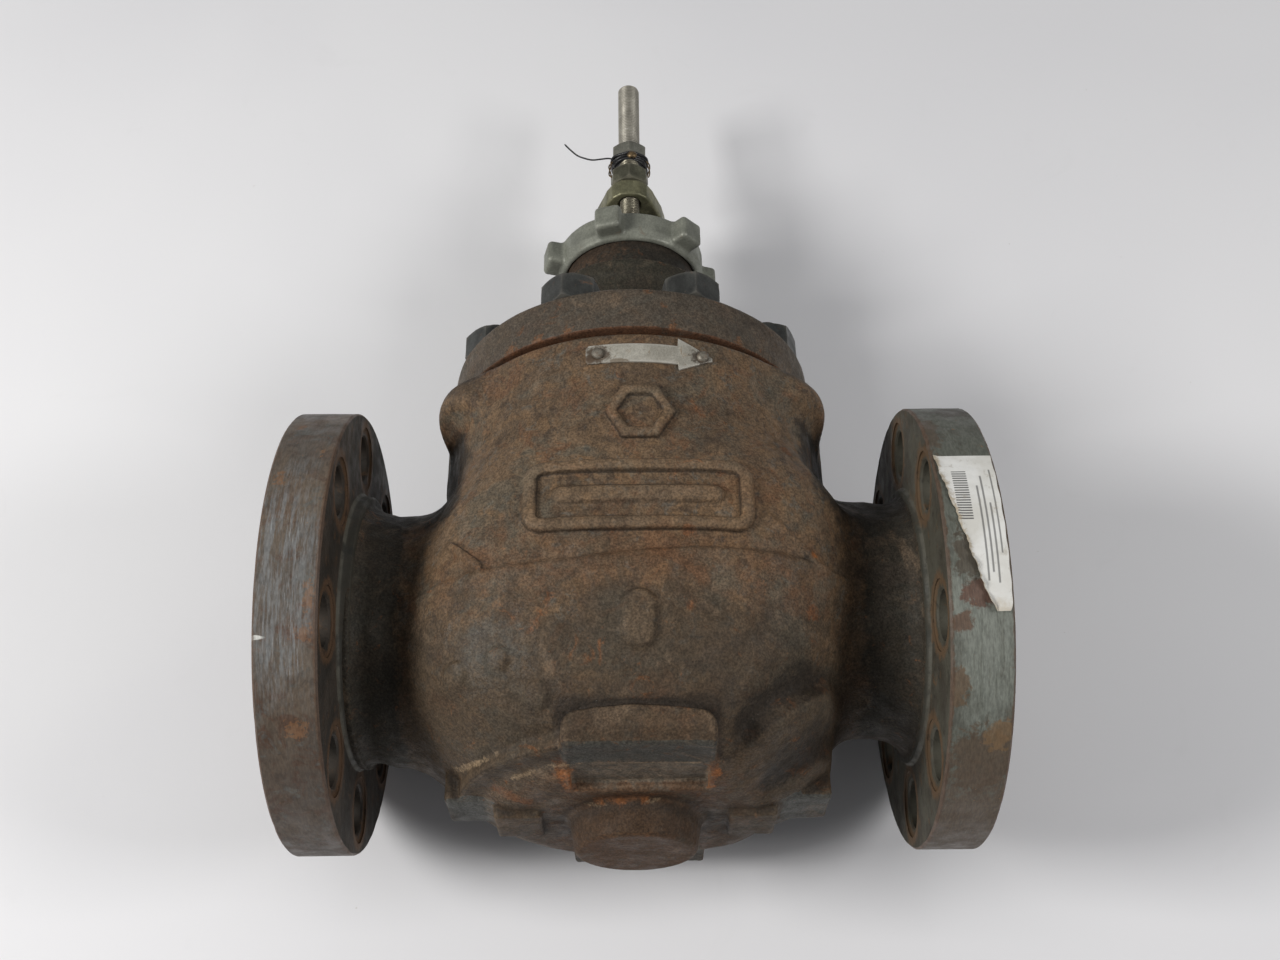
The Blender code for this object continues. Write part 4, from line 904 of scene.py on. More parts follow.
def cast_attributes(func, p, n):
    def f(h):
        return func(p[:, 0] + n[:, 0] * h, p[:, 1] + n[:, 1] * h, p[:, 2] + n[:, 2] * h)

    # hollow measures (cavm further down): they drive the rust bloom and the dirt and painted shade in the hollows
    cav = np.clip(1 - f(3.0) / 3.0, -0.2, 1.4)
    cavl = np.clip(1 - f(11.0) / 11.0, -0.2, 1.2)
    edge = np.clip((f(-4.0) + 4.0) / 4.0, 0, 1)
    x, y, z = p.T
    ax = np.abs(x)
    r = np.sqrt(x * x + y * y)
    low = np.clip((14 - z) / 64.0, 0, 1) * np.clip((124 - ax) / 20, 0, 1)
    # painted sheen: a grey tint on the lower inlet bulb and a weaker patch on the outlet side
    grey_sheen = np.exp(-(((x + 60) / 26) ** 2 + ((z + 48) / 22) ** 2)) * np.clip(-y / 60, 0, 1) * 0.80
    grey_sheen = np.maximum(grey_sheen, 0.45 * np.exp(-(((x - 70) / 18) ** 2 + ((z + 8) / 30) ** 2)))
    neck = np.clip((ax - 97) / 12, 0, 1)
    foot = (n[:, 2] < -0.7) * (z > -92) * (z < -88.6) * (np.abs(x - 1.8) < 33) * (np.abs(y) > 60)
    strip = (z > -96.0) * (z < -89.0) * (np.abs(x - 1.8) < 29.5) * (np.abs(y) > 38.8) * (np.abs(y) <= 60)
    # side wall of the bottom boss: reddish brown plus painted shade
    wall = np.clip((33.5 - r) / 1.0, 0, 1) * (z < -93.5) * np.clip((n[:, 2] + 0.75) / 0.2, 0, 1)
    cavity = cavity_sdf(x, y, z)
    inside = (cavity < 1.2).astype(float)
    # no hollow dirt or painted shade on the machined strip
    bare = 1 - 0.85 * strip
    speckle = 0.5 + 0.5 * fractal(p, 5.0, 131, 2)
    tan = line_zone(p, TAN_LINES) * np.clip(0.62 + 0.75 * speckle, 0, 1)
    # painted shade on the side walls above the necks, where the end flanges cast shadow; darkest on faces turned away
    side = np.clip((ax - np.where(x < 0, 71.0, 70.5)) / 12, 0, 1) * np.clip((z - 6) / 24, 0, 1) * np.clip((88 - z) / 9, 0, 1)
    side = side * np.clip((-n[:, 1] * -1.0 + 1.15) / 0.6, 0, 1)
    ux, uz = -38.0 / 47.8, -29.0 / 47.8
    run = ((x - 83.0) * ux + (z + 60.0) * uz) / 47.8
    off = (x - 83.0) * uz - (z + 60.0) * ux
    span = np.clip((run + 0.30) / 0.35, 0, 1) * np.clip((1.12 - run) / 0.3, 0, 1) * np.clip((np.abs(y) - 18.0) / 14.0, 0, 1)
    # painted shade in the two hollows beside the low diagonal ridge
    hollow = np.maximum(np.exp(-(((off - 10.5) / 6.5) ** 2)), np.exp(-(((off + 8.5) / 5.5) ** 2))) * span
    lugface = (n[:, 2] < -0.6) * (z < -87.5) * (z > -92) * (ax > 58) * (np.abs(y) < 17)
    # painted highlight on the tops of the raised front marks
    mark_highlight = np.clip(front_marks(x, z) / 3.6, 0, 1) * (y < -40)
    warm = np.exp(-(((z + 14) / 26) ** 2)) * np.clip((96 - ax) / 14, 0, 1) * 0.75
    warm = np.maximum(warm, 0.8 * np.exp(-(((x - 52) / 20) ** 2 + ((z - 26) / 22) ** 2)))
    warm = np.maximum(warm, 0.7 * np.clip((-58 - z) / 8, 0, 1) * (np.abs(x - 1.6) < 34) * (y < -60))
    cavm = np.clip(1 - f(6.5) / 6.5, 0, 1)
    return {
        "cav": cav * bare,
        "cavm": cavm * bare * (z < 104),
        "side": side,
        "hollow": hollow,
        "lugface": lugface * 0.9,
        "mark_highlight": mark_highlight,
        "warm": warm,
        "fire": sphere_zone(p, FIRE_SPOTS),
        "cavl": cavl * bare,
        "edge": edge,
        "low": low,
        "grey_sheen": grey_sheen,
        "neck": neck,
        "tan": tan,
        "orange": np.maximum(sphere_zone(p, ORANGE_SPOTS), line_zone(p, RUST_LINES)),
        "foot": foot * 0.9,
        "strip": strip * 0.9,
        "wall": wall,
        "red": np.clip((-88.5 - z) / 3.0, 0, 1) * 0.85 * np.exp(-((x / 66) ** 2)),
        "inside": inside,
    }


def make_casting():
    fine = 1.25
    xs = graded(((-136.0, 0), (-104.0, 1.7), (106.0, fine), (136.0, 1.7)))
    ys = graded(((-109.0, 0), (-52.0, fine), (60.0, 2.3), (109.0, 1.9)))
    zs = graded(((-112.5, 0), (-72.0, 1.25), (108.5, fine)))
    V = sample_field(casting, xs, ys, zs)
    pos, quads = surface_nets(V, xs, ys, zs)
    del V
    # the flange discs hide both ends of the casting, so only the outer and bore walls keep relief
    n = field_normals(casting, pos)
    pos = pos - n * np.clip(casting(pos[:, 0], pos[:, 1], pos[:, 2]), -0.8, 0.8)[:, None]
    attrs = cast_attributes(casting, pos, n)
    inside = attrs["inside"] > 0.5
    rough = 0.42 * fractal(pos, 15.0, 11, 3) + 0.24 * fractal(pos, 5.0, 17, 2)
    calm = np.where(inside, 0.25, 1.0) * np.clip((BODY_TOP - 0.6 - pos[:, 2]) / 1.5, 0, 1)
    calm *= np.clip((pos[:, 2] + 109.0) / 1.5, 0, 1) * (1 - 0.9 * np.clip(attrs["foot"], 0, 1))
    calm *= np.interp(np.abs(pos[:, 0]), (112.0, 122.0), (1.0, 0.22))
    on_mark = (front_marks(pos[:, 0], pos[:, 2]) > 0.2) & (pos[:, 1] < -40)
    calm *= np.where(on_mark, 0.35, 1.0)
    pos = pos + n * (rough * calm)[:, None]
    pos[:, 2] = np.clip(pos[:, 2], -110.0, BODY_TOP)
    pos[:, 0] = np.clip(pos[:, 0], -134.0, 134.0)
    mat = casting_material("rusted_body_casting", 1.0, 1.0, 1.0, CAST_ZONES)
    obj = make_object("body_casting_shell", pos, quads, [mat], attrs=attrs)
    return finish_piece(obj, ROOT, ["valve_body"])


# =====================================================================================
# end flanges
# =====================================================================================
def make_flange(side, rim, inner, gasket):
    groove = []
    r = RF_R - 1.6
    while r > 41.0:
        groove += [(r, 158.745), (r - 0.35, 158.62), (r - 0.7, 158.745)]
        r -= 1.15
    outer = [(104.775 - 0.9, 157.2), (104.775, 156.3)]
    steps = np.linspace(155.0, 132.4, 18)
    outer += [(104.775, float(t)) for t in steps] + [(104.775, 131.1), (103.9, 130.2)]
    back = [(float(q), 130.2) for q in np.linspace(102.0, 68.0, 16)]
    if side < 0:
        back += [(66.4, 130.1), (65.5, 129.6), (65.1, 128.9), (64.9, 127.4), (64.6, 125.6), (64.0, 125.1), (62.9, 124.9), (50.0, 125.2)]
    else:
        back += [(66.6, 130.1), (65.9, 129.7), (65.5, 129.0), (65.2, 128.4), (64.4, 128.1), (50.0, 128.1)]
    web = [(float(q), 157.2) for q in np.linspace(RF_R + 0.4, 102.6, 16)]
    bore = [(38.6, 130.2), (38.6, 134.2), (38.1, 134.5), (38.1, 146.0), (38.1, 158.2), (38.7, 158.745)]
    profile = bore + groove[::-1] + [(RF_R - 0.5, 158.745), (RF_R, 158.3)] + web + outer + back
    segs = 176
    verts, faces = lathe(profile, segs, closed=True)
    verts = np.array(verts)
    rad = np.hypot(verts[:, 0], verts[:, 1])
    world = np.stack([side * verts[:, 2], verts[:, 1], side * -verts[:, 0]], 1)
    dent = np.abs(fractal(world, 22.0, 31 + side, 3)) * 0.55 + np.clip(fractal(world, 7.0, 41 + side, 2) - 0.35, 0, 1) * 0.9
    nick = np.clip(fractal(world, 10.0, 51 + side, 2) - 0.28, 0, 1) * 2.2
    rim_w = np.clip((rad - 103.0) / 1.5, 0, 1)
    corner = rim_w * (np.clip((132.0 - verts[:, 2]) / 1.5, 0, 1) + np.clip((verts[:, 2] - 155.6) / 1.2, 0, 1))
    shrink = 1 - (dent * rim_w * 0.5 + nick * corner) / np.maximum(rad, 1)
    verts[:, 0] *= shrink
    verts[:, 1] *= shrink
    on_back = (verts[:, 2] < 131.0) & (rad > 66) & (rad < 103)
    verts[on_back, 2] += (0.18 + 0.18 * fractal(world, 12.0, 61, 3))[on_back]
    obj = outward(make_object(f"{'inlet' if side < 0 else 'outlet'}_flange_disc", verts, faces, [rim, inner, gasket]))
    parts = []
    for k in range(8):
        a = math.radians(22.5 + 45 * k)
        x, y = 84.05 * math.cos(a), 84.05 * math.sin(a)
        v, f = lathe([(0, 120.0), (15.6, 120.0), (15.6, 131.0), (15.1, 131.3), (12.0, 131.5), (11.1, 132.3), (11.1, 156.4), (11.8, 157.2), (11.8, 165.0), (0, 165.0)], 40)
        parts.append((v + np.array((x, y, 0)), f))
    tool = tool_from(parts)
    boolean(obj, tool, angle=32)
    # turn the local axis onto +X or -X; the flange was built standing on +Z, lifted by the axis height
    mesh = obj.data
    co = np.empty(len(mesh.vertices) * 3, np.float32)
    mesh.vertices.foreach_get("co", co)
    co = co.reshape(-1, 3).astype(np.float64)
    co[:, 2] -= AXIS * MM
    out = np.stack([side * co[:, 2], co[:, 1], -side * co[:, 0] + AXIS * MM], 1)
    mesh.vertices.foreach_set("co", out.astype(np.float32).ravel())
    mesh.update()
    normal = np.empty(len(mesh.polygons) * 3, np.float32)
    mesh.polygons.foreach_get("normal", normal)
    normal = normal.reshape(-1, 3)
    centre = np.empty(len(mesh.polygons) * 3, np.float32)
    mesh.polygons.foreach_get("center", centre)
    centre = centre.reshape(-1, 3) * 1000.0
    centre[:, 2] -= AXIS
    pr = np.hypot(centre[:, 1], centre[:, 2])
    depth = side * centre[:, 0]
    index = np.where(pr > 103.2, 0, np.where(depth > 146.0, 2, 1))
    in_hole = np.zeros(len(pr), bool)
    mesh.polygons.foreach_set("material_index", index.astype(np.int32))
    mesh.shade_smooth()
    mesh.set_sharp_from_angle(angle=math.radians(32))
    return finish_piece(obj, ROOT, ["valve_body"])


RF_R = 63.5


# =====================================================================================
# bonnet
# =====================================================================================
BONNET_ZONES = (
    ("rim", (0.072, 0.062, 0.050), 0.70, 12.0, 0.40, 0.90),
    ("orange", (0.190, 0.080, 0.030), 0.55, 2.2, 0.70, 1.05),
    # painted shade: the bonnet neck above the flange
    ("top", (0.027, 0.026, 0.019), 0.92, 10.0, 0.30, 0.80),
    # painted shadow: the yoke boss under the locknut
    ("boss", (0.017, 0.0165, 0.0135), 0.92, 8.0, 0.25, 0.75),
    ("bossrust", (0.074, 0.042, 0.024), 0.50, 4.0, 0.50, 0.85),
    ("under", (0.110, 0.046, 0.022), 0.75, 8.0, 0.45, 0.90),
)


def make_bonnet():
    corners = [
        (6.95, 118.0), (22.0, 106.0), (40.0, 103.0), (44.0, 97.6), (59.6, 97.6), (59.6, 112.0), (92.0, 112.0), (92.0, 136.0),
        (55.0, 136.0), (48.8, 139.2), (46.2, 147.0), (45.0, 160.0), (45.0, 180.0), (46.5, 184.0), (46.5, 192.0), (35.7, 192.0),
        (35.7, 232.0), (11.4, 232.0), (11.4, 150.1), (6.95, 150.1),
    ]
    prof = rounded(corners, {6: 1.6, 7: 3.2, 8: 6.0, 9: 4.0, 13: 2.0, 14: 1.6, 15: 1.2, 16: 1.4, 17: 1.0}, 4)
    dense = []
    for (r0, z0), (r1, z1) in zip(prof, prof[1:] + prof[:1]):
        length = math.hypot(r1 - r0, z1 - z0)
        n = max(1, int(round(length / (2.0 if max(r0, r1) > 30 else 8.0))))
        for k in range(n):
            dense.append((r0 + (r1 - r0) * k / n, z0 + (z1 - z0) * k / n))
    verts, faces = lathe(dense, 168, closed=True)
    verts = np.array(verts)
    r = np.hypot(verts[:, 0], verts[:, 1])
    z = verts[:, 2]
    cast = ((r > 44) & (z > 139) & (z < 190)) * 0.5 + ((r > 50) & (z > 112.6) & (z < 138)) * 0.32
    noise = cast * (fractal(verts, 11.0, 71, 3) - 0.5)
    verts[:, 0] *= 1 + noise / np.maximum(r, 1)
    verts[:, 1] *= 1 + noise / np.maximum(r, 1)
    # pull the yoke boss in slightly where its worn turned threads are
    on_boss = (np.abs(r - 35.7) < 0.05) & (z > 196) & (z < 230)
    verts[on_boss, 0] *= 0.996
    verts[on_boss, 1] *= 0.996
    obj = make_object("bonnet_shell", verts, faces, [])
    outward(obj)
    parts = []
    for k in range(8):
        a = math.radians(22.5 + 45 * k)
        v, f = lathe([(0, 105.0), (8.7, 105.0), (8.7, 142.0), (0, 142.0)], 28)
        parts.append((v + np.array((76 * math.cos(a), 76 * math.sin(a), 0)), f))
    for y in (-22.0, 22.0):
        v, f = lathe([(0, 212.0), (5.75, 212.0), (5.75, 231.2), (6.5, 232.6), (6.5, 240.0), (0, 240.0)], 24)
        parts.append((v + np.array((0, y, 0)), f))
    boolean(obj, tool_from(parts), angle=34)
    mesh = obj.data
    co = np.empty(len(mesh.vertices) * 3, np.float32)
    mesh.vertices.foreach_get("co", co)
    p = co.reshape(-1, 3).astype(np.float64) * 1000.0
    p[:, 2] -= AXIS
    r = np.hypot(p[:, 0], p[:, 1])
    z = p[:, 2]
    # hollow values by the neck and the lip, and over the threaded boss under the locknut: they drive dirt and painted
    # shade
    near_neck = np.clip(1 - np.hypot(r - 50.0, z - 138.5) / 7.0, 0, 1)
    lip = np.clip(1 - np.hypot(r - 41.0, z - 192.0) / 7.0, 0, 1) * (r < 45)
    values = {
        "cav": np.maximum(near_neck, lip),
        "cavl": np.maximum(near_neck * 0.8, np.clip((z - 206) / 6, 0, 1) * (r > 34) * 0.9 * (z < 229)),
        "edge": np.maximum(np.clip(1 - np.hypot(r - 92, z - 136) / 3.2, 0, 1), np.clip(1 - np.hypot(r - 46.5, z - 192) / 2.2, 0, 1)) * 0.8,
        "rim": ((r > 88) & (z < 137)).astype(float),
        "orange": np.maximum(sphere_zone(p, ((8, -91.5, 134.5, 5), (-58, -72, 114, 7), (2, -36, 206, 5), (20, -90, 113.5, 5), (-44, -80, 114, 6), (-30, -87, 114.5, 5), (52, -76, 115, 6))), 0),
        # painted shade over the bonnet neck, painted shadow of the locknut over the yoke boss
        "top": ((r < 90) & (z > 134) & (z < 196)).astype(float) * 0.8,
        "boss": ((r < 37) & (z > 191)).astype(float),
        "bossrust": ((r < 37) & (z > 199)).astype(float) * np.clip(0.75 - (p[:, 0] + 12) / 50.0, 0, 0.8),
        "under": np.clip((113.6 - z) / 1.2, 0, 1) * 0.9,
    }
    for key, v in values.items():
        a = mesh.attributes.new(key, "FLOAT", "POINT")
        a.data.foreach_set("value", np.asarray(v, np.float32))
    mesh.materials.append(casting_material("rusted_bonnet_casting", 0.82, 1.0, 0.75, BONNET_ZONES))
    for poly in mesh.polygons:
        poly.material_index = 0
    return finish_piece(obj, ROOT, ["bonnet"])


# =====================================================================================
# threads, nuts, studs
# =====================================================================================
def hex_nut(name, across, z0, z1, bore, turn=0.0, both=False, mats=(), at=(0, 0), wear=0.05, seed=0):
    per = 12
    n = 6 * per
    ang = np.radians(turn) + 2 * np.pi * np.arange(n) / n
    fold = (np.arange(n) % per) / per * np.pi / 3 - np.pi / 6
    apo = across / 2
    R = apo / np.cos(fold)
    R = np.minimum(R, apo / math.cos(math.pi / 6) * 0.988)
    # corners fall where fold is -30 degrees
    rc = apo * 0.965
    tan = math.tan(math.radians(30))
    top = z1 - np.maximum(0, R - rc) * tan
    low = z0 + (np.maximum(0, R - rc) * tan if both else 0 * R)
    rows = [(np.full(n, bore), np.full(n, z0 + 0.9)), (np.full(n, bore + 0.9), np.full(n, z0))]
    rows.append((np.full(n, rc), np.full(n, z0)))
    rows.append((R, low + 0.02))
    for t in (0.12, 0.35, 0.6, 0.85):
        rows.append((R, low + (top - low) * t))
    rows.append((R, top))
    rows.append((R * 0.5 + rc * 0.5, (top + z1) / 2))
    rows.append((np.full(n, rc), np.full(n, z1)))
    rows.append((np.full(n, rc * 0.5 + (bore + 1.0) * 0.5), np.full(n, z1)))
    rows.append((np.full(n, bore + 1.0), np.full(n, z1)))
    rows.append((np.full(n, bore), np.full(n, z1 - 0.9)))
    verts, faces = [], []
    for rr, zz in rows:
        verts.append(np.stack([rr * np.cos(ang), rr * np.sin(ang), zz], 1))
    verts = np.concatenate(verts)
    m = len(rows)
    for i in range(m):
        j = (i + 1) % m
        for k in range(n):
            q = (k + 1) % n
            faces.append((i * n + k, i * n + q, j * n + q, j * n + k))
    rad = np.hypot(verts[:, 0], verts[:, 1])
    w = wear * (fractal(verts + seed * 31.0, 5.0, 81 + seed, 2) - 0.6) * (rad > bore + 1.5)
    verts[:, 0] *= 1 + w / np.maximum(rad, 1)
    verts[:, 1] *= 1 + w / np.maximum(rad, 1)
    verts = verts + np.array((at[0], at[1], 0))
    obj = make_object(name, verts, np.array(faces), mats, angle=28)
    return outward(obj)


def threaded_rod(name, r, spans, mats=(), segs=36, per=6, at=(0, 0), caps=(1.0, 1.0), phase=0.0):
    """spans: (z0, z1, pitch or None, depth). One closed rod along Z with round capped ends."""
    rows = []
    z_first, z_last = spans[0][0], spans[-1][1]
    for z0, z1, pitch, depth in spans:
        if pitch:
            n = int(math.ceil((z1 - z0) / pitch * per))
            zs = np.linspace(z0, z1, n + 1)
        else:
            n = max(1, int((z1 - z0) / 12.0))
            zs = np.linspace(z0, z1, n + 1)
        for t in zs[(0 if not rows else 1):]:
            rows.append((float(t), pitch, depth, z0, z1))
    ang = 2 * np.pi * np.arange(segs) / segs + phase
    verts = [np.array([[0, 0, z_first]])]
    for z, pitch, depth, z0, z1 in rows:
        rr = np.full(segs, float(r))
        if pitch:
            u = (z / pitch - ang / (2 * np.pi)) % 1.0
            cut = depth * np.clip(1.15 * np.abs(2 * u - 1) - 0.05, 0, 1)
            fade = min(1.0, (z - z0) / pitch + (0 if z0 > z_first else 1), 1.0)
            rr = rr - cut * max(0.0, fade)
        end = 0.0
        if z - z_first < caps[0]:
            end = caps[0] - (z - z_first)
        if z_last - z < caps[1]:
            end = caps[1] - (z_last - z)
        if end > 0:
            rr = np.minimum(rr, r - end * 0.9)
        verts.append(np.stack([rr * np.cos(ang), rr * np.sin(ang), np.full(segs, z)], 1))
    verts.append(np.array([[0, 0, z_last]]))
    count = len(rows)
    verts = np.concatenate(verts) + np.array((at[0], at[1], 0))
    faces = []
    last = 1 + count * segs
    for k in range(segs):
        q = (k + 1) % segs
        faces.append((0, 1 + q, 1 + k))
        base = 1 + (count - 1) * segs
        faces.append((last, base + k, base + q))
    for i in range(count - 1):
        a, b = 1 + i * segs, 1 + (i + 1) * segs
        for k in range(segs):
            q = (k + 1) % segs
            faces.append((a + k, a + q, b + q, b + k))
    return make_object(name, verts, faces, mats, angle=50)


def tube(path, radius, segs=10, resample=6):
    """(verts, faces) of a closed-ended tube along a smooth curve through the points."""
    pts = [np.array(p, float) for p in path]
    curve = []
    ext = [2 * pts[0] - pts[1]] + pts + [2 * pts[-1] - pts[-2]]
    for i in range(1, len(ext) - 2):
        p0, p1, p2, p3 = ext[i - 1 : i + 3]
        for k in range(resample):
            t = k / resample
            curve.append(0.5 * (2 * p1 + (p2 - p0) * t + (2 * p0 - 5 * p1 + 4 * p2 - p3) * t * t + (3 * p1 - p0 - 3 * p2 + p3) * t**3))
    curve.append(pts[-1])
    curve = np.array(curve)
    tang = np.gradient(curve, axis=0)
    tang /= np.linalg.norm(tang, axis=1, keepdims=True)
    up = np.array((0.0, 0.3, 1.0))
    up -= tang[0] * (up @ tang[0])
    up /= np.linalg.norm(up)
    verts, faces = [], []
    for i, c in enumerate(curve):
        up = up - tang[i] * (up @ tang[i])
        up /= np.linalg.norm(up)
        side = np.cross(tang[i], up)
        scale = radius * (0.55 if i in (0, len(curve) - 1) else 1.0)
        for k in range(segs):
            a = 2 * math.pi * k / segs
            verts.append(c + (side * math.cos(a) + up * math.sin(a)) * scale)
    n = len(curve)
    for i in range(n - 1):
        for k in range(segs):
            q = (k + 1) % segs
            faces.append((i * segs + k, i * segs + q, (i + 1) * segs + q, (i + 1) * segs + k))
    faces.append(tuple(range(segs))[::-1])
    faces.append(tuple((n - 1) * segs + k for k in range(segs)))
    return np.array(verts), faces


def merge(parts):
    vs, fs, n = [], [], 0
    for v, f in parts:
        vs.append(np.asarray(v, float))
        fs += [tuple(int(i) + n for i in face) for face in f]
        n += len(v)
    return np.concatenate(vs), fs


def make_fasteners(dark):
    for k in range(8):
        a = math.radians(22.5 + 45 * k)
        at = (76 * math.cos(a), 76 * math.sin(a))
        stud = threaded_rod(f"body_stud_thread_{k + 1}", 7.94, ((77.5, 157.2, 2.31, 1.1),), [dark], 30, 6, at, (1.2, 1.4), phase=k * 0.7)
        finish_piece(stud, ROOT, [f"body_stud_{k + 1}"])
        nut = hex_nut(f"body_nut_hex_{k + 1}", 27.0, 136.3, 151.7, 7.9, (k * 17 + 8) % 60 if k not in (5, 6) else (14.0, 40.0)[k - 5], True, [dark], at, 0.16, k)
        finish_piece(nut, ROOT, [f"body_nut_{k + 1}"])


def make_locknut(mat):
    def f(x, y, z):
        r = np.sqrt(x * x + y * y)
        zc = z - 220.5
        out_r = np.where(z < 217, 38.6 + (z - 212) * 0.36, 40.4)
        body = smax(r - out_r, np.abs(zc) - 8.5, 1.6)
        d = body
        for k in range(6):
            a = math.radians(-105.0 + 60 * k)
            u, v = x * math.cos(a) + y * math.sin(a), -x * math.sin(a) + y * math.cos(a)
            lug = round_box(u, v, z, (42.3, 0, 221.3), (6.2, 7.25, 7.3), 2.6)
            d = smin(d, lug, 1.8)
        return smax(d, 36.0 - r, 0.8)

    xs = np.arange(-50.0, 50.01, 0.8)
    zs = np.arange(210.4, 230.8, 0.7)
    V = sample_field(f, xs, xs, zs)
    pos, quads = surface_nets(V, xs, xs, zs)
    n = field_normals(f, pos, 0.5)
    pos = pos - n * np.clip(f(pos[:, 0], pos[:, 1], pos[:, 2]), -0.5, 0.5)[:, None]
    pos = pos + n * ((0.16 * fractal(pos, 6.0, 91, 3) - 0.08)[:, None])
    pos[:, 2] = np.clip(pos[:, 2], 212.0, 229.0)
    obj = make_object("locknut_lugs", pos, quads, [mat])
    return finish_piece(obj, ROOT, ["yoke_locknut"])


def make_packing_flange(mat):
    def f(x, y, z):
        # rhombic oval plan with round ends over the studs
        ay = np.abs(y)
        half = np.interp(ay, (0, 9, 16, 22, 27, 30, 31.2, 36), (20.2, 18.1, 15.2, 12.9, 9.6, 5.6, 0.0, -9.0))
        side = (np.abs(x) - half) * 0.88
        d = smax(side, ay - 30.9, 1.5)
        d = smax(d, np.abs(z - 256.5) - 5.5, 1.8)
        r = np.sqrt(x * x + y * y)
        d = smax(d, 7.5 - r, 0.8)
        stud = 6.0 - np.sqrt(x * x + (ay - 22.0) ** 2)
        return smax(d, stud, 0.6)

    xs = np.arange(-22.0, 22.01, 0.6)
    ys = np.arange(-33.0, 33.01, 0.6)
    zs = np.arange(249.8, 263.3, 0.6)
    V = sample_field(f, xs, ys, zs)
    pos, quads = surface_nets(V, xs, ys, zs)
    n = field_normals(f, pos, 0.4)
    pos = pos - n * np.clip(f(pos[:, 0], pos[:, 1], pos[:, 2]), -0.4, 0.4)[:, None]
    pos = pos + n * ((0.10 * fractal(pos, 5.0, 95, 3) - 0.05)[:, None])
    pos[:, 2] = np.clip(pos[:, 2], 251.0, 262.0)
    obj = make_object("gland_flange", pos, quads, [mat])
    return finish_piece(obj, ROOT, ["packing_flange"])


def make_stem(mats):
    stem = threaded_rod(
        "stem_rod", 6.35, ((-2.6, 0.4, None, 0), (0.4, 262.0, None, 0), (262.0, 362.0, 1.27, 0.62)), [mats["stem"]], 40, 6, caps=(1.0, 1.3)
    )
    finish_piece(stem, STEM, ["valve_stem"])
    low = hex_nut("jam_nut_lower_hex", 19.05, 285.0, 293.0, 6.3, 0.0, True, [mats["jam_low"]], wear=0.12, seed=3)
    finish_piece(low, STEM, ["stem_jam_nut_lower"])
    up = hex_nut("jam_nut_upper_hex", 19.05, 303.3, 311.5, 6.3, 30.0, True, [mats["jam_up"]], wear=0.12, seed=5)
    finish_piece(up, STEM, ["stem_jam_nut_upper"])
    # wire wrapped between and over the jam nuts, with a loose tail
    turns = []
    for k in range(0, 3 * 18 + 1):
        a = math.radians(200 + k * 20)
        rr = 9.6 + 0.5 * math.sin(k * 0.9)
        turns.append((rr * math.cos(a), rr * math.sin(a), 296.6 + k * 0.085 + 0.6 * math.sin(k * 0.5)))
    over = []
    for k in range(0, 22):
        a = math.radians(150 + k * 17)
        rr = 10.6 + 0.35 * math.cos(k * 1.7)
        over.append((rr * math.cos(a), rr * math.sin(a), 301.6 + 0.5 * math.sin(k * 0.7)))
    tail = [(-8.4, -5.6, 300.4), (-12.0, -6.2, 300.9), (-16.5, -6.4, 300.2), (-21.5, -6.4, 299.6), (-26.0, -6.5, 300.8), (-30.5, -6.5, 303.2), (-35.0, -6.5, 308.2), (-38.0, -6.5, 312.2)]
    parts = [tube(turns, 0.95, 8, 2), tube(over, 0.85, 8, 2), tube(tail, 0.48, 8, 5)]
    core, core_f = lathe([(6.9, 294.3), (8.6, 294.3), (9.2, 296.0), (8.9, 298.0), (9.3, 300.0), (8.8, 302.0), (8.2, 302.8), (6.9, 302.8)], 28, closed=True)
    parts.append((core, core_f))
    v, f = merge(parts)
    wire = make_object("wire_wrap", v, f, [mats["wire"]])
    outward(wire)
    finish_piece(wire, STEM, ["tag_wire"])
    # twisted ends hanging beside the lower jam nut, one each side
    bits = []
    for sx in (-1, 1):
        for strand in (0, 1):
            path = []
            for k in range(9):
                t = k / 8
                a = t * 7.5 + strand * math.pi
                path.append((sx * (9.9 + 1.6 * math.sin(t * 2.6)) + 0.55 * math.cos(a), -5.2 - 1.6 * t + 0.55 * math.sin(a), 299.2 - 12.5 * t + 1.2 * math.sin(t * 5)))
            bits.append(tube(path, 0.42, 7, 3))
    lump, lf = lathe([(0, -1.2), (0.9, -0.9), (1.35, 0.0), (1.0, 0.9), (0, 1.3)], 10)
    lump = lump * np.array((2.3, 1.5, 2.0)) + np.array((1.6, -10.6, 299.2))
    bits.append((lump, lf))
    v, f = merge(bits)
    twist = outward(make_object("wire_twists", v, f, [mats["brass"]]))
    finish_piece(twist, STEM, ["tag_wire"])


def make_packing(mats):
    for name, sy, node in (("front", -22.0, "packing_stud_front"), ("rear", 22.0, "packing_stud_rear")):
        stud = threaded_rod(f"gland_stud_{name}", 5.55, ((212.4, 281.0, 1.9, 0.95),), [mats["stud"]], 30, 6, (0, sy), (1.0, 1.2))
        finish_piece(stud, ROOT, [node])
        nut = hex_nut(f"gland_nut_{name}", 19.05, 262.3, 272.9, 5.5, 30.0, True, [mats["gland_nut"]], (0, sy), 0.14, 7)
        finish_piece(nut, ROOT, [f"packing_nut_{name}"])


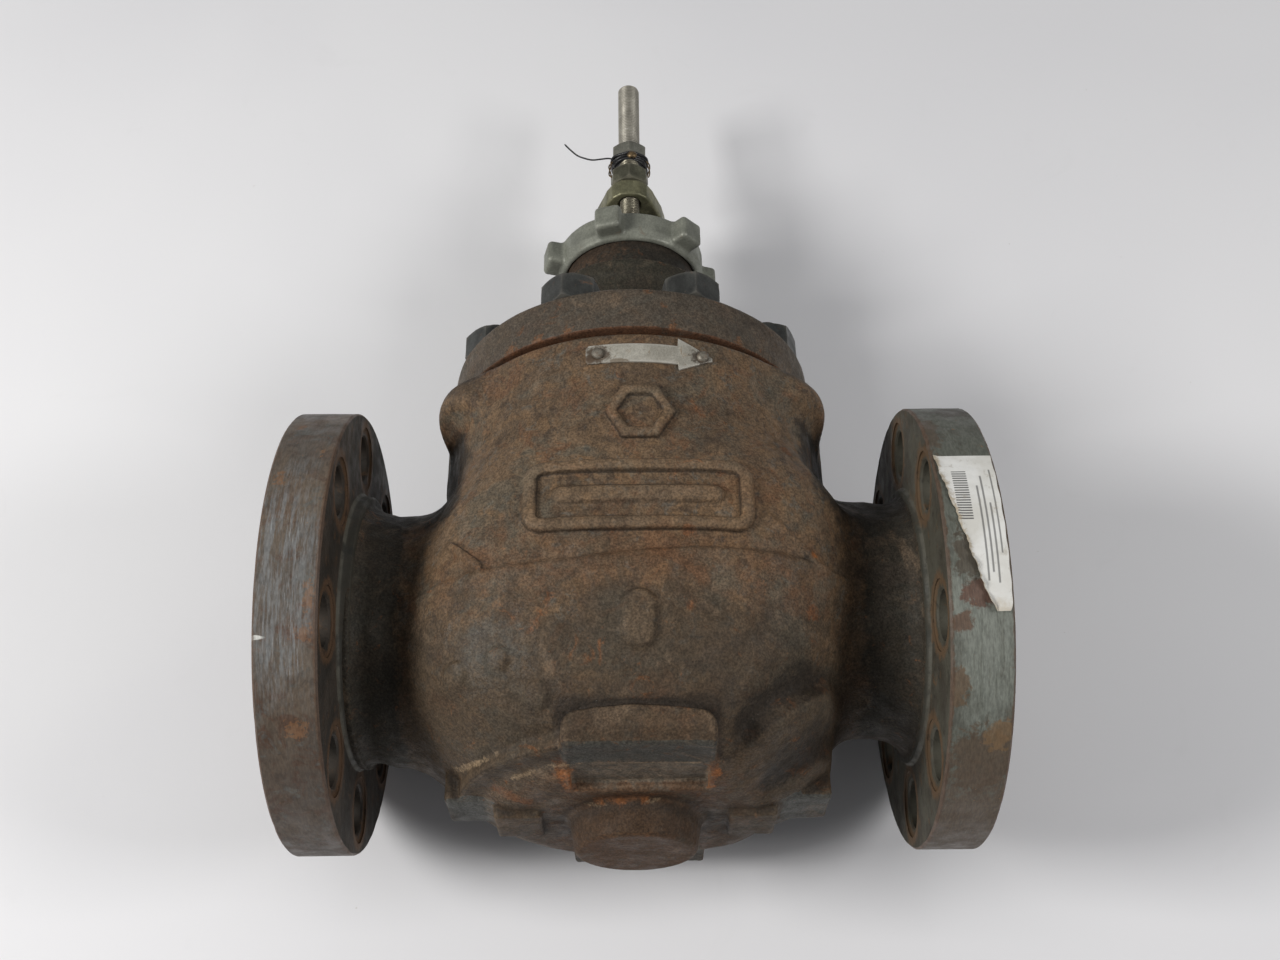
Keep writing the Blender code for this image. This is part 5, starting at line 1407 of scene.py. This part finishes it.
# =====================================================================================
# flow arrow plate and rim label
# =====================================================================================
def make_arrow_plate(plate_mat, screw_mat):
    r_in, r_out = 96.15, 97.35
    cols = []
    for x in np.arange(-21.0, 21.41, 1.06):
        low, high = 88.4, 98.6
        d = min(x + 21.0, 1.8)
        inset = 1.8 - math.sqrt(max(0.0, 1.8**2 - (1.8 - d) ** 2))
        cols.append((float(x), low + inset, high - inset))
    for x in np.linspace(21.7, 37.5, 17):
        half = 0.9 + 8.0 * (37.5 - x) / 15.8
        cols.append((float(x), 94.1 - half, 94.1 + half))
    across = 9
    rings = []
    for x, low, high in cols:
        lift = 0.22 * math.sin(x * 0.21) + 0.12 * math.sin(x * 0.53 + 1)
        ring = []
        for t in np.linspace(0, 1, across):
            z = low + (high - low) * t
            edge = 0.30 if t in (0.0, 1.0) else 0.0
            r = r_out - edge - 0.12 + 0.10 * lift
            ring.append((x, -math.sqrt(r * r - x * x), z))
        for t in np.linspace(1, 0, across):
            z = low + (high - low) * t
            ring.append((x, -math.sqrt(r_in * r_in - x * x), z))
        rings.append(ring)
    n = len(rings[0])
    verts = [p for ring in rings for p in ring]
    faces = []
    for i in range(len(rings) - 1):
        for k in range(n):
            q = (k + 1) % n
            faces.append((i * n + k, i * n + q, (i + 1) * n + q, (i + 1) * n + k))
    for i, flip in ((0, True), (len(rings) - 1, False)):
        for k in range(across - 1):
            quad = (i * n + k, i * n + k + 1, i * n + n - 2 - k, i * n + n - 1 - k)
            faces.append(quad[::-1] if flip else quad)
    plate = outward(make_object("arrow_plate", verts, faces, [plate_mat], angle=35))
    finish_piece(plate, ROOT, ["flow_arrow_plate"])
    for index, (x, z) in enumerate(((-15.3, 93.3), (33.0, 94.1))):
        seat = math.sqrt(r_out * r_out - x * x)
        under = seat + (0.3 if index == 0 else 0.5)
        prof = [(0, 90.0), (1.35, 90.0), (1.35, under), (2.95, under), (2.9, under + 0.5), (2.45, under + 1.2), (1.6, under + 1.75), (0.8, under + 1.95), (0, under + 2.0)]
        v, f = lathe(prof, 24)
        v = np.stack([v[:, 0] + x, -v[:, 2], v[:, 1] + z], 1)
        screw = outward(make_object(f"arrow_plate_screw_{index + 1}", v, f, [screw_mat], angle=50))
        finish_piece(screw, ROOT, [f"flow_plate_screw_{index + 1}"])


def make_label(mat):
    base = 104.775 + 0.12
    rows = ((19.0, 131.2), (12.0, 132.6), (5.0, 135.0), (-3.0, 138.2), (-11.0, 141.6), (-17.0, 144.8), (-22.0, 147.6))
    angs = np.linspace(19.0, -22.5, 72)
    us = np.linspace(0, 1, 26)
    outer, inner, data = [], [], []
    key_a = [r[0] for r in rows][::-1]
    key_x = [r[1] for r in rows][::-1]
    for a in angs:
        torn = 0.30 * math.sin(a * 0.9) + 0.16 * math.sin(a * 2.7 + 1) + 0.10 * math.sin(a * 7.3)
        x0 = float(np.interp(a, key_a, key_x)) + torn * (0.4 if a > 14 else 1.0)
        x1 = 156.2 - 0.15 * math.sin(a * 0.9) - 1.9 * max(0.0, (-19.5 - a) / 3.0) ** 2
        if a < -20.0:
            x0 += (-20.0 - a) * 0.8
        for u in us:
            x = x0 + (x1 - x0) * u
            low_curl = np.clip((-16.5 - a) / 6.0, 0, 1) ** 2 * 3.4 * (0.35 + 0.65 * u)
            side_curl = np.clip(1 - u / 0.16, 0, 1) ** 2 * (0.9 + 1.1 * np.clip((2 - a) / 18, 0, 1))
            lift = low_curl + side_curl * (0.4 + 0.6 * abs(math.sin(a * 0.7))) + 0.05 * math.sin(a * 2.2 + u * 5)
            r = base + lift
            t = math.radians(a)
            limit = 105.10 / max(math.cos(t), 0.5)
            r = min(r, limit)
            outer.append((x, -(r + 0.12) * math.cos(t), (r + 0.12) * math.sin(t)))
            inner.append((x, -r * math.cos(t), r * math.sin(t)))
            data.append((u, (19.0 - a) / 41.5))
    rows_n, cols_n = len(angs), len(us)
    n = rows_n * cols_n
    verts = outer + inner
    faces = []
    for i in range(rows_n - 1):
        for k in range(cols_n - 1):
            a, b, c, d = i * cols_n + k, i * cols_n + k + 1, (i + 1) * cols_n + k + 1, (i + 1) * cols_n + k
            faces.append((a, b, c, d))
            faces.append((n + d, n + c, n + b, n + a))
    border = [(i, 0) for i in range(rows_n)] + [(rows_n - 1, k) for k in range(1, cols_n)]
    border += [(i, cols_n - 1) for i in range(rows_n - 2, -1, -1)] + [(0, k) for k in range(cols_n - 2, 0, -1)]
    ids = [i * cols_n + k for i, k in border]
    for a, b in zip(ids, ids[1:] + ids[:1]):
        faces.append((a, b, n + b, n + a))
    label = outward(make_object("paper_sticker", verts, faces, [mat], angle=60))
    u = np.array(data * 2)
    for key, v in (("lu", u[:, 0]), ("lv", u[:, 1])):
        at = label.data.attributes.new(key, "FLOAT", "POINT")
        at.data.foreach_set("value", v.astype(np.float32))
    return finish_piece(label, ROOT, ["rim_label"])


def label_material():
    """Grubby white paper with a block of equal stripes and a few plain rules."""
    s = Shade("rim_label_paper")
    x, y, z = s.xyz()
    ang = s.op("MULTIPLY", s.op("ARCTAN2", z, s.op("MULTIPLY", y, -1.0)), 57.2958)
    col = s.mix(s.step(s.noise(18, 5, 0.6, 0.4, 1), 0.35, 0.65), (0.74, 0.74, 0.72), (0.62, 0.61, 0.57))

    def band(v, lo, hi, soft):
        return s.op("MULTIPLY", s.step(v, lo - soft, lo + soft), s.step(v, hi + soft, hi - soft))

    stripe = s.op("PINGPONG", s.op("ADD", ang, 100.0), 0.36)
    bars = s.op("MULTIPLY", s.step(stripe, 0.14, 0.20), s.op("MULTIPLY", band(ang, -0.5, 13.5, 0.05), band(x, 137.4, 143.6, 0.2)))
    rules = None
    for lo, hi, c, w in ((-15.5, 9.0, 147.2, 0.42), (-13.5, 12.0, 149.4, 0.42), (-16.0, 4.0, 151.6, 0.42), (-9.0, 14.0, 153.8, 0.36)):
        m = s.op("MULTIPLY", band(ang, lo, hi, 0.2), band(x, c - w, c + w, 0.12))
        rules = m if rules is None else s.op("MAXIMUM", rules, m)
    ink = s.op("MAXIMUM", bars, s.op("MULTIPLY", rules, 0.8))
    col = s.mix(s.op("MULTIPLY", ink, 0.85), col, (0.035, 0.035, 0.037))
    grime = s.step(s.noise(5, 6, 0.7, 0.5, 3), 0.56, 0.70)
    col = s.mix(s.op("MULTIPLY", grime, 0.45), col, (0.30, 0.26, 0.20))
    torn = s.step(s.op("ADD", s.attr("lu"), s.op("MULTIPLY", s.op("SUBTRACT", s.noise(4, 5, 0.7, 0.4, 5), 0.5), 0.5)), 0.12, 0.0)
    col = s.mix(s.op("MULTIPLY", torn, 0.75), col, (0.36, 0.28, 0.17))
    low = s.step(s.op("ADD", s.attr("lv"), s.op("MULTIPLY", s.op("SUBTRACT", s.noise(6, 5, 0.7, 0.4, 6), 0.5), 0.3)), 0.90, 1.02)
    col = s.mix(s.op("MULTIPLY", low, 0.5), col, (0.40, 0.32, 0.20))
    s.add_height(s.noise(6, 4, 0.6, 0.3, 7), 0.25)
    s.add_height(s.noise(0.7, 3, 0.6, 0.0, 8), 0.03)
    return s.done(col, 0.55, 0.0, 0.35)


# =====================================================================================
# build
# =====================================================================================
def override(nodes, mat):
    for name in nodes:
        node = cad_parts[name]
        node.data.materials.clear()
        node.data.materials.append(mat)


make_casting()
inlet_rim = rim_material("inlet_rim_worn", (0.088, 0.070, 0.055), (0.120, 0.090, 0.064), (0.105, 0.098, 0.088), (0.046, 0.036, 0.029), -1)
outlet_rim = rim_material("outlet_rim_paint", (0.098, 0.104, 0.086), (0.086, 0.088, 0.073), (0.125, 0.128, 0.108), (0.062, 0.056, 0.042), 1)
inlet_face = face_material("inlet_flange_faces", (0.052, 0.042, 0.033), (0.030, 0.026, 0.021), (0.120, 0.066, 0.034), -1)
outlet_face = face_material("outlet_flange_faces", (0.078, 0.074, 0.056), (0.050, 0.044, 0.033), (0.130, 0.074, 0.036), 1)
gasket_face = metal_material("gasket_face_steel", (0.22, 0.20, 0.17), (0.10, 0.085, 0.070), (0.15, 0.070, 0.030), (0.40, 0.62), 0.55, (0.52, 0.64), 6.0)
make_flange(-1, inlet_rim, inlet_face, gasket_face)
make_flange(1, outlet_rim, outlet_face, gasket_face)
make_bonnet()

nut_steel = metal_material("dark_fastener_steel", (0.058, 0.060, 0.056), (0.032, 0.033, 0.031), (0.125, 0.060, 0.028), (0.36, 0.58), 0.35, (0.60, 0.70), 4.0, edge=(0.16, 0.15, 0.13))
make_fasteners(nut_steel)
zinc = metal_material("dull_zinc_locknut", (0.216, 0.223, 0.186), (0.157, 0.162, 0.134), (0.125, 0.090, 0.058), (0.42, 0.62), 0.20, (0.60, 0.72), 4.5, bump=0.6, edge=(0.36, 0.36, 0.32))
make_locknut(zinc)
yellow = metal_material("yellow_zinc_gland", (0.225, 0.215, 0.128), (0.120, 0.118, 0.070), (0.085, 0.062, 0.034), (0.34, 0.55), 0.55, (0.60, 0.72), 4.0, edge=(0.36, 0.34, 0.24))
make_packing_flange(yellow)
make_packing(
    {
        "stud": metal_material("gland_stud_steel", (0.20, 0.185, 0.14), (0.085, 0.075, 0.055), (0.10, 0.062, 0.032), (0.32, 0.5), 0.7, (0.58, 0.70), 2.5),
        "gland_nut": metal_material("gland_nut_zinc", (0.190, 0.185, 0.130), (0.095, 0.092, 0.065), (0.19, 0.098, 0.048), (0.30, 0.5), 0.6, (0.60, 0.70), 3.5, edge=(0.30, 0.28, 0.22)),
    }
)
make_stem(
    {
        "stem": metal_material("stem_steel", (0.27, 0.255, 0.215), (0.17, 0.158, 0.130), (0.12, 0.088, 0.055), (0.40, 0.55), 0.45, (0.63, 0.74), 4.0, edge=(0.5, 0.48, 0.43)),
        "jam_low": metal_material("lower_jam_nut_steel", (0.210, 0.205, 0.165), (0.115, 0.110, 0.085), (0.13, 0.070, 0.035), (0.34, 0.55), 0.5, (0.60, 0.72), 3.0, edge=(0.20, 0.19, 0.16)),
        "jam_up": metal_material("upper_jam_nut_zinc", (0.250, 0.248, 0.210), (0.150, 0.148, 0.122), (0.12, 0.080, 0.045), (0.34, 0.55), 0.55, (0.62, 0.74), 3.5, edge=(0.28, 0.27, 0.23)),
        "wire": metal_material("black_wire_wrap", (0.022, 0.022, 0.023), (0.010, 0.010, 0.011), (0.050, 0.035, 0.022), (0.25, 0.45), 0.1, (0.66, 0.76), 1.6),
        "brass": metal_material("twisted_brass_wire", (0.235, 0.160, 0.080), (0.060, 0.045, 0.028), (0.11, 0.060, 0.030), (0.30, 0.5), 0.7, (0.60, 0.72), 1.6),
    }
)
plate = metal_material("arrow_plate_aluminium", (0.46, 0.44, 0.38), (0.34, 0.32, 0.27), (0.20, 0.145, 0.090), (0.38, 0.55), 0.35, (0.575, 0.68), 3.6, edge=(0.55, 0.53, 0.48),
    marks=(((-16.0, -95.6, 93.0), (5.6, 9, 5.2), (0.085, 0.055, 0.033), 0.85), ((32.0, -91.5, 94.1), (4.6, 9, 4.2), (0.060, 0.042, 0.028), 0.85), ((-19.5, -95, 90.5), (3.5, 9, 2.2), (0.10, 0.065, 0.04), 0.7), ((-6.0, -97, 89.0), (5.0, 9, 1.0), (0.16, 0.115, 0.07), 0.7)))
screw = metal_material("drive_screw_rust", (0.22, 0.20, 0.165), (0.10, 0.085, 0.065), (0.12, 0.060, 0.030), (0.4, 0.6), 0.4, (0.52, 0.66), 1.6)
make_arrow_plate(plate, screw)
make_label(label_material())

trim = metal_material("trim_hard_steel", (0.40, 0.395, 0.38), (0.24, 0.235, 0.22), (0.16, 0.12, 0.08), (0.22, 0.42), 0.9, (0.66, 0.78), 6.0)
graph = metal_material("graphite_seal", (0.050, 0.050, 0.054), (0.028, 0.028, 0.030), (0.085, 0.080, 0.076), (0.5, 0.7), 0.1, (0.62, 0.74), 2.5)
white = metal_material("white_packing_ring", (0.72, 0.72, 0.69), (0.58, 0.57, 0.53), (0.42, 0.38, 0.30), (0.40, 0.55), 0.0, (0.66, 0.80), 2.2)
felt = metal_material("felt_wiper_wool", (0.36, 0.33, 0.27), (0.24, 0.21, 0.17), (0.15, 0.12, 0.09), (0.85, 0.97), 0.0, (0.60, 0.74), 1.2, bump=3.0)
bright = metal_material("gland_stainless", (0.42, 0.41, 0.38), (0.26, 0.25, 0.22), (0.16, 0.11, 0.07), (0.25, 0.42), 0.85, (0.66, 0.78), 3.0)
override(("cage", "valve_plug", "seat_ring"), trim)
override(("plug_pin", "packing_box_ring", "lantern_ring", "packing_follower"), bright)
override(("piston_ring", "seat_gasket", "bonnet_gasket"), graph)
override([f"packing_ring_{k}" for k in range(1, 7)], white)
override(("felt_wiper",), felt)


# =====================================================================================
# backdrop, light, camera
# =====================================================================================
def backdrop_material():
    s = Shade("pale_table_top")
    col = s.mix(s.step(s.noise(420, 3, 0.5, 0.2, 1), 0.35, 0.65), (0.815, 0.815, 0.835), (0.775, 0.775, 0.800))
    smear = s.step(s.noise(60, 5, 0.65, 1.2, 2), 0.60, 0.75)
    col = s.mix(s.op("MULTIPLY", smear, 0.12), col, (0.70, 0.70, 0.71))
    speck = s.step(s.noise(5, 3, 0.6, 0.0, 3), 0.755, 0.79)
    col = s.mix(s.op("MULTIPLY", speck, 0.35), col, (0.42, 0.38, 0.33))
    s.add_height(s.noise(9, 4, 0.6, 0.0, 4), 0.10)
    s.done(col, 0.62, 0.0, 0.25)
    # seen from behind, the table top lets the camera through
    light = s.node("ShaderNodeLightPath")
    geo = s.node("ShaderNodeNewGeometry")
    clear = s.node("ShaderNodeBsdfTransparent")
    blend = s.node("ShaderNodeMixShader")
    s.join(s.op("MULTIPLY", light.outputs["Is Camera Ray"], geo.outputs["Backfacing"]), blend.inputs[0])
    s.join(s.bsdf.outputs[0], blend.inputs[1])
    s.join(clear.outputs[0], blend.inputs[2])
    s.join(blend.outputs[0], s.out.inputs["Surface"])
    return s.mat


TILT = math.radians(5.6)
TABLE_N = np.array((0.0, math.cos(TILT), math.sin(TILT)))
TABLE_U = np.array((1.0, 0.0, 0.0))
TABLE_V = np.array((0.0, -math.sin(TILT), math.cos(TILT)))
TABLE_D = 106.0


def make_backdrop():
    verts, faces = [], []
    span = np.linspace(-2200, 2200, 45)
    for v in span:
        for u in span:
            verts.append(TABLE_N * TABLE_D + TABLE_U * u + TABLE_V * v)
    n = len(span)
    for i in range(n - 1):
        for k in range(n - 1):
            a = i * n + k
            faces.append((a, a + n, a + n + 1, a + 1))
    obj = make_object("table_top", verts, faces, [backdrop_material()])
    # the upper side of the table faces the camera, towards -Y
    if obj.data.polygons[0].normal.y > 0:
        obj.data.flip_normals()
    return obj


def make_crumbs():
    """A few flakes of scale that fell on the table."""
    rng = np.random.default_rng(7)
    parts = []
    for cu, cv, count, spread in ((18, -190, 9, 9), (118, -160, 3, 3), (8, -170, 4, 10), (-66, -70, 3, 12)):
        for _ in range(count):
            u, v = cu + rng.normal(0, spread), cv + rng.normal(0, spread * 0.35)
            size = rng.uniform(0.6, 1.7)
            vv, ff = lathe([(0, -0.5), (0.8, -0.35), (1.0, 0.1), (0.6, 0.5), (0, 0.6)], 7)
            vv = vv * rng.uniform(0.6, 1.3, vv.shape) * size
            vv = rotate(vv, "Y", float(rng.uniform(0, 180)))
            parts.append((vv + TABLE_N * (TABLE_D - 0.5 * size) + TABLE_U * u + TABLE_V * v, ff))
    v, f = merge(parts)
    mat = metal_material("scale_flakes", (0.14, 0.09, 0.055), (0.06, 0.042, 0.03), (0.30, 0.16, 0.08), (0.6, 0.85), 0.0, (0.5, 0.62), 1.5)
    obj = outward(make_object("fallen_scale", v, f, [mat]))


make_backdrop()
make_crumbs()


def area_light(name, at, target, size, power, colour):
    light = bpy.data.lights.new(name, "AREA")
    light.shape = "RECTANGLE"
    light.size, light.size_y = size
    light.energy = power
    light.color = colour
    obj = bpy.data.objects.new(name, light)
    bpy.context.scene.collection.objects.link(obj)
    obj.location = Vector(at)
    obj.rotation_euler = (Vector(target) - Vector(at)).to_track_quat("-Z", "Y").to_euler()
    return obj


CENTRE = (0.0, 0.0, 0.13)
area_light("soft_box_left", (-1.20, -1.00, -0.15), CENTRE, (0.48, 0.48), 20.5, (1.0, 0.985, 0.955))
area_light("soft_box_right", (1.20, -1.00, -0.20), CENTRE, (0.48, 0.48), 10.2, (1.0, 0.985, 0.965))

area_light("soft_box_top", (0.0, -1.25, 1.05), (0.0, 0.0, 0.25), (0.7, 0.5), 1.1, (0.97, 0.98, 1.0))

world = bpy.data.worlds.new("studio")
bpy.context.scene.world = world
world.use_nodes = True
world.node_tree.nodes["Background"].inputs["Color"].default_value = (0.96, 0.975, 1.0, 1.0)
world.node_tree.nodes["Background"].inputs["Strength"].default_value = 0.17

camera_data = bpy.data.cameras.new("camera")
camera_data.lens, camera_data.sensor_width = 41.04, 36.0
camera_data.clip_start, camera_data.clip_end = 0.02, 20.0
camera = bpy.data.objects.new("camera", camera_data)
bpy.context.scene.collection.objects.link(camera)
right = Vector((0.999937, -0.000143, -0.011253))
down = Vector((-0.009536, 0.520282, -0.853942))
ahead = Vector((0.005977, 0.853994, 0.520248))
turn = Matrix((right, -down, -ahead)).transposed().to_4x4()
camera.matrix_world = Matrix.Translation((-0.000576, -0.63832, -0.19495)) @ turn
bpy.context.scene.camera = camera
bpy.context.scene.view_settings.view_transform = "Standard"
bpy.context.scene.view_settings.look = "None"
bpy.context.scene.view_settings.exposure = 0.0
bpy.context.scene.view_settings.gamma = 1.0
